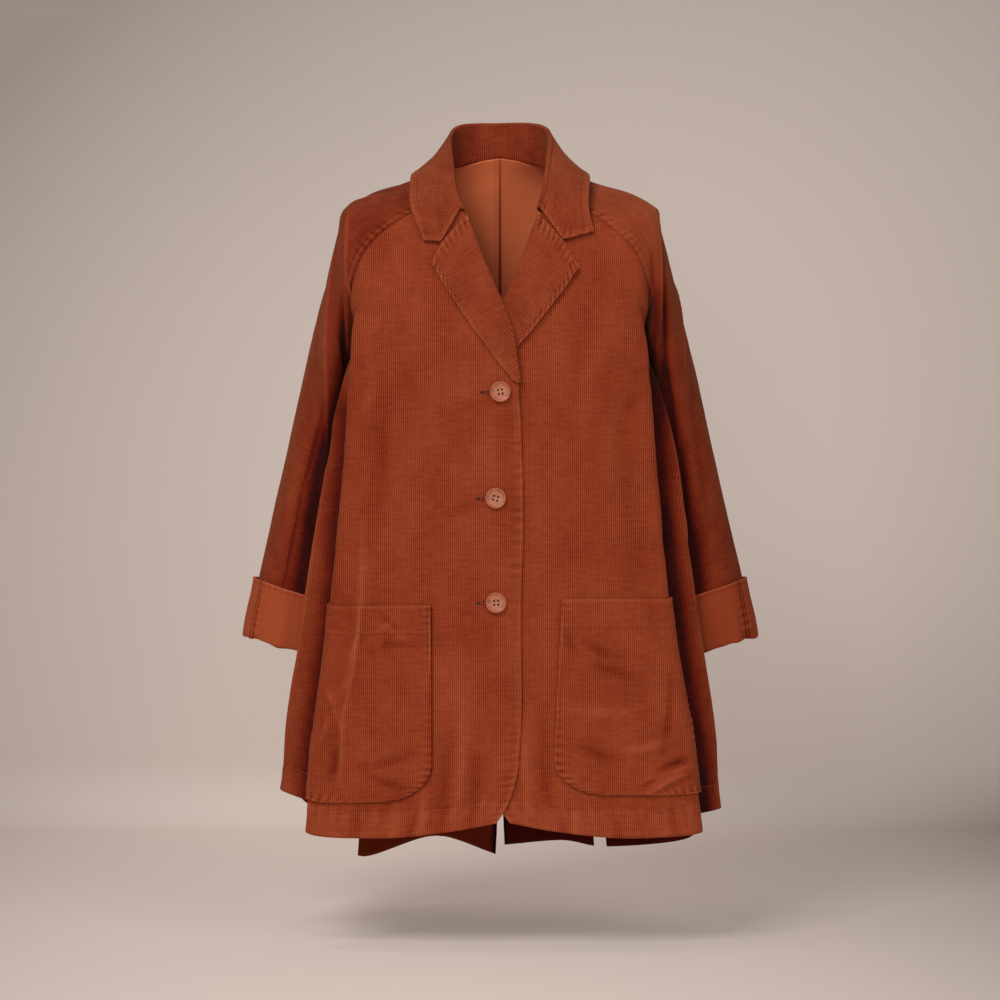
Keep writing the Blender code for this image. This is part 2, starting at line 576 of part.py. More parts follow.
def cuff_surface(sleeve):
    """Grid of a turned-up cuff: from under the sleeve's end, out and up round it."""
    profile = [*CUFF_TURN, *((CUFF_STAND_OFF, CUFF_DEPTH * share) for share in CUFF_SHARES)]
    end, before = sleeve[-1], sleeve[-2]
    axis = unit((end - before).mean(axis=0))
    rows = []
    for off, up in profile:
        if up <= 0:
            ring = end - axis * up
        else:
            ring = np.array([along(sleeve[::-1, k], [up])[0] for k in range(sleeve.shape[1])])
        out = ring - ring[:-1].mean(axis=0)
        out = unit(out - np.outer(out @ axis, axis))
        rows.append(ring + out * off)
    return np.array(rows)[:, :-1]


# ---- making walls ---------------------------------------------------------------------------
def cell_normals(grid):
    """Cross product of the diagonals of each cell."""
    return np.cross(grid[1:, 1:] - grid[:-1, :-1], grid[:-1, 1:] - grid[1:, :-1])


def shared_normals(grids):
    """Unit normals of grids, the same for all of them at a point of a shared border."""
    total = {}
    for grid, sign in grids:
        cells = cell_normals(grid) * sign
        for i, j in np.ndindex(cells.shape[:2]):
            for point in (grid[i, j], grid[i + 1, j], grid[i, j + 1], grid[i + 1, j + 1]):
                key = tuple(np.round(point, 5) + 0.0)
                total[key] = total.get(key, 0) + cells[i, j]
    return [
        unit(np.array([[total[tuple(np.round(p, 5) + 0.0)] for p in row] for row in grid]))
        for grid, _ in grids
    ]


def own_normals(grid, sign, closed=False):
    """Unit normals of one grid; a closed one goes round a tube."""
    around = np.concatenate([grid, grid[:, :1]], axis=1) if closed else grid
    normals = shared_normals([(around, sign)])[0]
    return normals[:, :-1] if closed else normals


def drawn_in(grid):
    """The grid with its borders moved half a seam gap into the piece."""
    moved = grid.copy()
    for lines, out in ((grid, moved), (grid.swapaxes(0, 1), moved.swapaxes(0, 1))):
        for edge, inside in ((0, 1), (-1, -2)):
            step = lines[inside] - lines[edge]
            size = np.maximum(np.linalg.norm(step, axis=1, keepdims=True), 1e-6)
            out[edge] += step / size * SEAM_GAP / 2
    return moved


def wall(name, outer, inner, finish, closed=False, slit=()):
    """A solid between two grids, round and round where closed, with the slit's cells left out."""
    mesh = bmesh.new()
    layers = [[[mesh.verts.new(point) for point in row] for row in grid] for grid in (outer, inner)]
    height, width = len(outer) - 1, len(outer[0]) - (not closed)
    columns = len(outer[0])
    edges = {}
    for i in range(height):
        for j in range(width):
            if (i, j) in slit:
                continue
            ring = [(i, j), (i, (j + 1) % columns), (i + 1, (j + 1) % columns), (i + 1, j)]
            mesh.faces.new([layers[0][a][b] for a, b in ring])
            mesh.faces.new([layers[1][a][b] for a, b in reversed(ring)])
            for start, end in zip(ring, ring[1:] + ring[:1]):
                if (end, start) in edges:
                    del edges[end, start]
                else:
                    edges[start, end] = True
    for (a, b), (c, d) in edges:
        mesh.faces.new([layers[0][c][d], layers[0][a][b], layers[1][a][b], layers[1][c][d]])
    bmesh.ops.delete(mesh, geom=[v for v in mesh.verts if not v.link_faces], context="VERTS")
    bmesh.ops.recalc_face_normals(mesh, faces=mesh.faces)
    return add_piece(name, mesh, finish)


def add_piece(name, mesh, finish):
    data = bpy.data.meshes.new(name)
    mesh.to_mesh(data)
    mesh.free()
    data.materials.append(finish)
    data.shade_smooth()
    data.set_sharp_from_angle(angle=math.radians(50))
    piece = bpy.data.objects.new(name, data)
    PARTS.objects.link(piece)
    return piece


def cloth(name, grid, normals, thickness, finish, **options):
    half = normals * thickness / 2
    return wall(name, grid + half, grid - half, finish, **options)


def material(name, colour, roughness):
    made = bpy.data.materials.new(name)
    made.use_nodes = True
    shader = made.node_tree.nodes["Principled BSDF"]
    shader.inputs["Base Color"].default_value = (*colour, 1)
    shader.inputs["Roughness"].default_value = roughness
    return made


def collection(name):
    made = bpy.data.collections.new(name)
    bpy.context.scene.collection.children.link(made)
    return made


def mirrored(grid, side):
    """World points of a grid whose x counts towards its own side."""
    return grid * np.array((side, 1, 1))


for old in list(bpy.data.objects):
    bpy.data.objects.remove(old)
PARTS = collection("corduroy_jacket")
CUTTERS = collection("cutters")
CORDUROY = material("corduroy", RUST, 0.85)
REVERSE = material("corduroy_reverse", RUST_REVERSE, 0.8)
HORN = material("button", BUTTON_BROWN, 0.4)
WORDS = {+1: "left", -1: "right"}


def make_body(surfaces):
    """Fronts, backs and sleeves, whose walls share their directions at the seams."""
    grids = []
    for side, (front, back, sleeve) in surfaces.items():
        grids += [
            (mirrored(front, side), side),
            (mirrored(back, side), side),
            (mirrored(sleeve, side), -side),
        ]
    normals = shared_normals(grids)
    slit = {(row, SLIT_COLUMN) for row in range(VENT_ROWS)}
    for k, (side, word) in enumerate(WORDS.items()):
        front, back, sleeve = (grid for grid, _ in grids[3 * k : 3 * k + 3])
        front_out, back_out, sleeve_out = normals[3 * k : 3 * k + 3]
        seam = OVERARM_COLUMN
        cloth(f"front_{word}", drawn_in(front), front_out, WALL, CORDUROY)
        cloth(f"back_{word}", drawn_in(back), back_out, WALL, CORDUROY, slit=slit)
        before, after = np.s_[:, : seam + 1], np.s_[:, seam:]
        cloth(f"sleeve_front_{word}", drawn_in(sleeve[before]), sleeve_out[before], WALL, CORDUROY)
        cloth(f"sleeve_back_{word}", drawn_in(sleeve[after]), sleeve_out[after], WALL, CORDUROY)


def make_collar(surfaces):
    """The stand and the leaf, each in one piece round the neck."""
    halves = {}
    for side, (front, back, _) in surfaces.items():
        neckline = np.concatenate([front[-1], [NECK_MIDDLE], back[-1]])
        lines = collar_lines(front, neckline, side)
        halves[side] = [mirrored(grid, side) for grid in (stand_surface(lines), leaf_surface(lines))]
    for k, name in enumerate(("collar_stand", "collar_leaf")):
        grid = np.concatenate([halves[-1][k], halves[+1][k][:, -2::-1]], axis=1)
        cloth(name, drawn_in(grid), own_normals(grid, 1), DOUBLE_WALL, CORDUROY)


def make_lapel(front, side, word):
    grid = mirrored(drawn_in(lapel_surface(front, side)), side)
    cloth(f"lapel_{word}", grid, own_normals(grid, side), DOUBLE_WALL, CORDUROY)


def make_pocket(front, side, word):
    grid = mirrored(pocket_surface(front, side), side)
    cloth(f"pocket_{word}", grid, own_normals(grid, side), WALL, CORDUROY)


def make_cuff(sleeve, side, word):
    grid = mirrored(cuff_surface(sleeve), side)
    cloth(f"cuff_{word}", grid, own_normals(grid, side, closed=True), DOUBLE_WALL, REVERSE, closed=True)


SURFACES = {}
for own_side in WORDS:
    own_front, own_back = front_surface(own_side), back_surface(own_side)
    SURFACES[own_side] = (own_front, own_back, sleeve_surface(own_front, own_back))
make_body(SURFACES)
make_collar(SURFACES)
for own_side, side_word in WORDS.items():
    make_lapel(SURFACES[own_side][0], own_side, side_word)
    make_pocket(SURFACES[own_side][0], own_side, side_word)
    make_cuff(SURFACES[own_side][2], own_side, side_word)


def button_profile():
    """Half section of a button from the middle of its back: x outwards, z along its axis."""
    radius, half, rim = BUTTON_RADIUS, BUTTON_THICKNESS / 2, BUTTON_RIM
    return [
        (0.0, -half),
        (radius - 0.0022, -half),
        (radius - 0.0006, -half * 0.45),
        (radius, half * 0.25),
        (radius - 0.0003, half * 0.8),
        (radius - rim * 0.45, half),
        (radius - rim, half * 0.7),
        (radius - rim * 1.6, half * 0.3),
        (0.0, half * 0.25),
    ]


def make_button(name, place, tilt):
    """A turned button with a raised rim and four holes, facing away from the cloth."""
    data = bpy.data.meshes.new(name)
    profile = button_profile()
    points = [(x, 0, z) for x, z in reversed(profile)]
    data.from_pydata(points, [(k, k + 1) for k in range(len(points) - 1)], [])
    button = bpy.data.objects.new(name, data)
    PARTS.objects.link(button)
    button.location, button.rotation_euler = place, (math.pi / 2 - tilt, 0, 0)
    turn = button.modifiers.new("turn", "SCREW")
    turn.steps = turn.render_steps = 28
    turn.use_merge_vertices = True
    turn.merge_threshold = 1e-5
    for x in (-BUTTON_HOLE_OFFSET, BUTTON_HOLE_OFFSET):
        for y in (-BUTTON_HOLE_OFFSET, BUTTON_HOLE_OFFSET):
            hole = button.modifiers.new("hole", "BOOLEAN")
            hole.object = hole_cutter(f"{name}_hole", button, (x, y, 0))
    data.materials.append(HORN)


def hole_cutter(name, button, place):
    bpy.ops.mesh.primitive_cylinder_add(vertices=8, radius=BUTTON_HOLE_RADIUS, depth=0.02)
    cutter = bpy.context.object
    cutter.name = name
    for user in list(cutter.users_collection):
        user.objects.unlink(cutter)
    CUTTERS.objects.link(cutter)
    cutter.parent = button
    cutter.location = place
    cutter.hide_render = True
    cutter.display_type = "WIRE"
    return cutter


def make_buttons(front):
    """Three buttons on the wearer's right front."""
    for number, spot in enumerate(BUTTONS.rows(), 1):
        x, z = spot["x"], spot["z"]
        depth, above = depth_on(front, x, z), depth_on(front, x, z + 0.01)
        tilt = math.atan2(above - depth, 0.01)
        off = WALL / 2 + BUTTON_SHANK + BUTTON_THICKNESS / 2
        place = (-x, depth - off * math.cos(tilt), z + off * math.sin(tilt))
        make_button(f"button_{number}", place, tilt)


make_buttons(SURFACES[-1][0])
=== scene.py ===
"""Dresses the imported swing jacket: fine-waled velvet, seams, stitches and creases, in a plain studio."""

import math

import bpy
import numpy as np
from mathutils import Matrix, Vector, noise


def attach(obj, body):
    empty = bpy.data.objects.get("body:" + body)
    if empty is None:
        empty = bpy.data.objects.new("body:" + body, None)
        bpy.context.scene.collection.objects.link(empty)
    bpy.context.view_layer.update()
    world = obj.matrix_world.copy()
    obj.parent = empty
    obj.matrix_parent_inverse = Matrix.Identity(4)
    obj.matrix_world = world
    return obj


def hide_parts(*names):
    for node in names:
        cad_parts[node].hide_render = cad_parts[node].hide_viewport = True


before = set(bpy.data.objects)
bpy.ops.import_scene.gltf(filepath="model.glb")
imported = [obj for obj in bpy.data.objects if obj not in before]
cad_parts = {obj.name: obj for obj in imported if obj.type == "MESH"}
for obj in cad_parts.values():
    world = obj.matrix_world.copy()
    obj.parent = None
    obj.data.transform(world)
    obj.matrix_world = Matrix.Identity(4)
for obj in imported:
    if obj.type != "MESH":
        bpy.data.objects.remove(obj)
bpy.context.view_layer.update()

bl_info = {
    "name": "Swing jacket",
    "version": (1, 0, 0),
    "blender": (4, 5, 0),
    "location": "View3D > Sidebar > Jacket",
    "description": "Builds a worn-form jacket in fine-waled velvet and its studio",
    "category": "Object",
}

SIDES = {+1: "left", -1: "right"}  # the wearer's; the wearer's left lies at +X

# ---- sizes in metres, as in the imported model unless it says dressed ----
WALL = 0.0022  # thickness of the cloth
DOUBLE_WALL = 0.0028  # collar, lapels and turned cuffs
SEAM_GAP = 0.0005
LAYER_STEP = 0.0019  # how far each front moves out or in where the fronts lap
LAPEL_STEP = 0.0020
LAP_FADE = (0.032, 0.078)
FRONT_LEAN = 0.0035
LAPEL_LIFT = 0.0060
LAPEL_END_LIFT = 0.0034
LAPEL_FOLD_REACH = 0.0030
LEAF_STEP = 0.0034
CUFF_DEPTH = 0.063
CUFF_STAND_OFF = 0.0056
CUFF_PROFILE = ((0.0, -0.0024), (0.0022, -0.0040), (0.0050, -0.0024), (CUFF_STAND_OFF, 0.004))
CUFF_DROOP = 0.010  # how much lower the turned edge hangs at the outside of the arm
POCKET_WIDTH = 0.166
POCKET_DEPTH = 0.2330
POCKET_CORNER_WIDTH = 0.058
POCKET_CORNER_HEIGHT = 0.044
POCKET_LIFT = 0.0035
BUTTON_THICKNESS = 0.0042
BUTTON_SHANK = 0.0014
NECK_STAND = -0.0005  # the dressed stand comes down to the neck seam, which the solids leave open
SLIT_WIDTH = 0.017
SLIT_TOP_WIDTH = 0.007
CENTRE_VENT = 0.0062
SADDLE_LIFT = 0.006
LAPEL_BOW = 0.0035  # how far the lapel's outer edge bows out
LAPEL_TURN_START = 0.35  # the first step round the lapel's fold, as a share of the others
STAND_HOLLOW = 0.0008
LEAF_CROWN = 0.55  # how high the collar's fold rises, as a share of its width
POCKET_PAST_FOLD = 0.004  # how far a pocket goes round the front's fold at least
LAP_SHARE, CHEST_SHARE, CHEST_DEPTH = 0.22, 0.6, 0.25  # places between a front's edge and fold
CORNER_DROP, HOLLOW_DROP = 0.75, 0.45  # heights between the back's seam and slit
NECK_MIDDLE = np.array((0.0710, 0.0120, 0.0020))  # where the sleeve reaches the side of the neck

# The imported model's grid, and how many steps the dressed cloth takes in each of its steps.
LOW_ROWS, HIGH_ROWS = 15, 10
ROWS = LOW_ROWS + HIGH_ROWS
VENT_ROWS = 2
FRONT_SPANS = (2, 2, 3, 2, 3, 3)
BACK_SPANS = (3, 3, 2, 1, 2, 3)
SLIT_COLUMN = 8
SLEEVE_SPANS = (4, 1, 2, 2, 2, 2, 2, 1)
OVERARM_COLUMN = HIGH_ROWS + 1
COLLAR_SPANS = (3, 3, 3, 3, 3, 3)
LEAF_SPANS = (2, 2)
LAPEL_ROWS, LAPEL_ARC, LAPEL_SPANS = 11, 2, (3, 2)
POCKET_SPANS, POCKET_ROWS = (7, 4), 11
CUFF_SPANS = (6, 6, 6, 36)
FINE_ROWS = 8
FINE_COLUMNS = 7
FINE_SLEEVE = 7
FINE_TRIM = 8  # collar, lapels and pockets


class Table:
    """Named rows of named columns, whose lengths are written in millimetres and read in metres.

    at(name, places) follows a smooth line through a column.
    """

    no_lengths = {"side", "row", "row2", "column", "column2", "sharp", "turn", "squareness", "along"}

    def __init__(self, columns, *rows):
        self.columns = columns.split()
        self.values = np.array([row[1:] for row in rows], float)
        self.values[:, [name not in self.no_lengths for name in self.columns]] /= 1000

    def __getitem__(self, column):
        return self.values[:, self.columns.index(column)]

    def at(self, column, places):
        return through(self.values[:, 0], self[column], places)

    def row_at(self, place):
        return {name: float(self.at(name, place)) for name in self.columns[1:]}

    def rows(self):
        return [dict(zip(self.columns, values)) for values in self.values]


def through(knots, values, places):
    """Points at places on a smooth curve that passes through values at knots."""
    knots, values, places = (np.asarray(x, float) for x in (knots, values, places))
    steps = np.diff(knots).reshape(-1, *[1] * (values.ndim - 1))
    rises = np.diff(values, axis=0) / steps
    inner = (rises[:-1] * steps[1:] + rises[1:] * steps[:-1]) / (steps[:-1] + steps[1:])
    slopes = np.concatenate([rises[:1], inner, rises[-1:]])
    i = np.clip(np.searchsorted(knots, places, side="right") - 1, 0, len(knots) - 2)
    width = knots[i + 1] - knots[i]
    t = (places - knots[i]) / width
    shape = t.shape + (1,) * (values.ndim - 1)
    t, width = t.reshape(shape), width.reshape(shape)
    return (
        (2 * t**3 - 3 * t**2 + 1) * values[i]
        + (t**3 - 2 * t**2 + t) * width * slopes[i]
        + (3 * t**2 - 2 * t**3) * values[i + 1]
        + (t**3 - t**2) * width * slopes[i + 1]
    )


def curve(points, spans):
    """Points along a smooth curve through the given ones, spans[i] steps between i and i + 1."""
    points = np.asarray(points, float)
    steps = np.sqrt(np.linalg.norm(np.diff(points, axis=0), axis=1) + 1e-9)
    knots = np.concatenate([[0], np.cumsum(steps)])
    places = [np.linspace(knots[i], knots[i + 1], span + 1)[:-1] for i, span in enumerate(spans)]
    return through(knots, points, np.concatenate([*places, knots[-1:]]))


def finer(spans, fine):
    return tuple(span * fine for span in spans)


def fade(value, start, end):
    """1 at start, 0 at end and smooth between."""
    t = np.clip((value - end) / (start - end), 0, 1)
    return t * t * (3 - 2 * t)


def reached(line):
    """Distance of each point of a polyline from its start."""
    return np.concatenate([[0], np.cumsum(np.linalg.norm(np.diff(line, axis=0), axis=1))])


def along(line, places):
    """Points of a polyline at the given distances from its start."""
    return np.stack([np.interp(places, reached(line), line[:, k]) for k in range(3)], axis=1)


def unit(vectors):
    return vectors / np.maximum(np.linalg.norm(vectors, axis=-1, keepdims=True), 1e-12)


# ---- the garment's lines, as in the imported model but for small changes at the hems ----
FRONT_HEIGHTS = Table(
    "row z_edge z_chest z_fold z_side",
    ("hem", 0, -785, -804, -799.5, -769),
    ("rise", 1, -765, -776, -775, -745),
    ("low", 3, -700, -704, -704, -680),
    ("cuffs", 6, -590, -590, -590, -572),
    ("waist", 9, -450, -450, -450, -440),
    ("midriff", 12, -320, -320, -320, -320),
    ("bust", 14, -215, -218, -220, -236),
    ("underarm", 15, -180, -183, -188, -205),
    ("armhole", 17, -158, -159, -160, -187),
    ("chest", 19, -136, -136, -136, -152),
    ("yoke", 21, -98, -97, -96, -104),
    ("collar", 23, -70, -66, -62, -65),
    ("neck", 25, -48, -43, -38, -22),
)
FRONT = Table(
    "row edge_y fold_x fold_y valley_x valley_y lobe_x lobe_y seam_x seam_y",
    ("hem", 0, -165, 237, -132, 214, -92, 270, -40, 252, 30),
    ("rise", 1, -163, 233, -132, 210, -92, 266, -42, 246, 26),
    ("low", 3, -158, 226, -130, 202, -92, 260, -48, 228, 14),
    ("cuffs", 6, -150, 209, -125, 188, -90, 243, -56, 194, -6),
    ("waist", 9, -142, 194, -118, 174, -86, 225, -60, 170, -8),
    ("midriff", 12, -136, 182, -111, 166, -82, 203, -56, 153, -6),
    ("bust", 14, -130, 175, -104, 170, -78, 180, -42, 153, 5),
    ("underarm", 15, -126, 173, -100, 171, -80, 170, -40, 160, 10),
    ("armhole", 17, -120, 165, -106, 171, -95, 175, -74, 175, -40),
    ("chest", 19, -114, 150, -110, 165, -107, 176, -100, 181, -86),
    ("yoke", 21, -101, 118, -106, 136, -108, 152, -108, 167, -105),
    ("collar", 23, -88, 86, -92, 101, -96, 115, -98, 131, -98),
    ("neck", 25, -78, 54, -70, 59, -62, 63, -53, 67, -44),
)
EDGE = Table(
    "z x",
    ("hem", -785, 8),
    ("corner", -771.5, -1.3),
    ("corner", -754, -9.6),
    ("corner", -733, -16.1),
    ("skirt", -686, -20.8),
    ("skirt", -531, -21.7),
    ("waist", -424, -24.1),
    ("chest", -292.6, -20.8),
    ("break", -258, -18.5),
    ("roll", -230, -14.5),
    ("roll", -201.5, -9.9),
    ("roll", -172.5, -0.2),
    ("roll", -131, 17.6),
    ("roll", -96.6, 31.5),
    ("gorge", -48, 47.8),
)
HEM = Table(
    "side fold_out side_up corner_out corner_up slit_in slit_up step_up pipe_out pipe_up centre_up",
    ("left", +1, 5, -12, 30, -4, 26, 5, 0, 4, 10, 6),
    ("right", -1, -4, 11, 0, 22, -36, -5, 31, 26, 14, -6),
)
BACK_HEIGHTS = Table(
    "row z_seam z_slit z_centre",
    ("hem", 0, -769, -860.5, -860),
    ("rise", 1, -745, -818, -816),
    ("low", 3, -680, -730, -726),
    ("cuffs", 6, -572, -600, -598),
    ("waist", 9, -440, -450, -450),
    ("midriff", 12, -320, -310, -310),
    ("bust", 14, -236, -200, -200),
    ("underarm", 15, -205, -160, -155),
    ("armhole", 17, -188, -130, -125),
    ("chest", 19, -152, -105, -95),
    ("yoke", 21, -92, -50, -42),
    ("collar", 23, -35, -1, 6),
    ("neck", 25, 18, 28, 36),
)
BACK = Table(
    "row hollow_x hollow_y corner_x corner_y slit_x slit_y pipe_x pipe_y centre_y seam_x seam_y",
    ("hem", 0, 252, 88, 214, 150, 158, 176, 85, 198, 188, 252, 30),
    ("rise", 1, 246, 86, 210, 148, 154, 172, 83, 192, 183, 246, 26),
    ("low", 3, 226, 80, 204, 142, 147, 164, 80, 181, 174, 228, 14),
    ("cuffs", 6, 184, 62, 190, 128, 138, 153, 75, 166, 162, 194, -6),
    ("waist", 9, 163, 48, 176, 116, 127, 142, 69, 151, 150, 170, -8),
    ("midriff", 12, 150, 42, 164, 108, 120, 132, 64, 138, 139, 153, -6),
    ("bust", 14, 152, 46, 166, 108, 118, 127, 62, 131, 132, 153, 5),
    ("underarm", 15, 161, 50, 168, 104, 118, 124, 62, 128, 129, 160, 10),
    ("armhole", 17, 170, 72, 168, 104, 118, 119, 62, 124, 125, 174, 46),
    ("chest", 19, 172, 96, 160, 108, 112, 115, 60, 118, 119, 181, 82),
    ("yoke", 21, 144, 108, 126, 107, 88, 102, 48, 104, 105, 158, 104),
    ("collar", 23, 96, 87, 84, 86, 62, 85, 34, 86, 87, 108, 88),
    ("neck", 25, 56, 51, 51, 55, 40, 62, 22, 67, 70, 60, 46),
)
SLEEVE = Table(
    "outer_x outer_z inner_x inner_z mid_y reach_front reach_back squareness",
    ("shoulder", 190.5, -35, 186, -227, 8, 100, 100, 2.5),
    ("cap", 200.5, -65, 190, -238, 12, 92, 92, 2.3),
    ("upper arm", 222, -150, 192, -268, 18, 83, 82, 2.2),
    ("biceps", 240.5, -225, 193, -305, 28, 75, 72, 2.2),
    ("above elbow", 260, -308, 192, -350, 38, 68, 64, 2.2),
    ("elbow", 285, -415, 196, -448, 45, 62, 58, 2.2),
    ("forearm", 305, -500, 204, -532, 50, 57, 55, 2.2),
    ("hem", 317.5, -560, 211, -593, 52, 54, 54, 2.2),
)
TURNS = Table(
    "row turn",
    ("underarm", 15, 0),
    ("armhole", 17, 38),
    ("chest", 19, 80),
    ("yoke", 21, 112),
    ("collar", 23, 138),
    ("neck", 25, 163),
)
COLLAR = Table(
    "along fold_x fold_y fold_z mid_x mid_y mid_z edge_x edge_y edge_z",
    ("gorge", 0.00, 46.2, -85, -45, 74, -101, -85, 103, -109, -79),
    ("front", 0.14, 53, -69, -19, 83, -90, -40, 108, -96, -45),
    ("side front", 0.33, 58.5, -29, 22, 86, -38, 6, 110.5, -42, -6),
    ("side", 0.50, 61.2, 12, 53, 83, 18, 31, 107, 25, 9.5),
    ("side back", 0.70, 53, 50, 71, 72, 66, 40, 89, 81, 10),
    ("back", 0.86, 29, 74, 78, 37, 90, 45, 44, 99, 12),
    ("centre back", 1.00, 0, 80, 79, 0, 96, 46, 0, 105, 13),
)
NOTCH = {+1: (0.0770, -0.0845), -1: (0.0712, -0.0860)}  # x and z where collar and lapel part
COLLAR_POINT = {+1: (0.1140, -0.0745), -1: (0.0925, -0.0850)}
LAPEL_POINT = {+1: (0.0960, -0.1195), -1: (0.0845, -0.1120)}
LAPEL_END = (-0.0150, -0.2560)
GORGE_GAP = (0.0006, 0.0010)
LAPEL_TOP, ROLL_END = -0.0540, -0.2600
POCKETS = Table(
    "side bottom low_inner high_inner",
    ("right", -1, -760, 80, 81.5),
    ("left", +1, -752, 62.5, 74.2),
)
BUTTONS = Table(
    "x z turn",
    ("top", -0.4, -270.3, 8),
    ("middle", 5.2, -398.2, -14),
    ("bottom", 4.6, -523.2, 3),
)

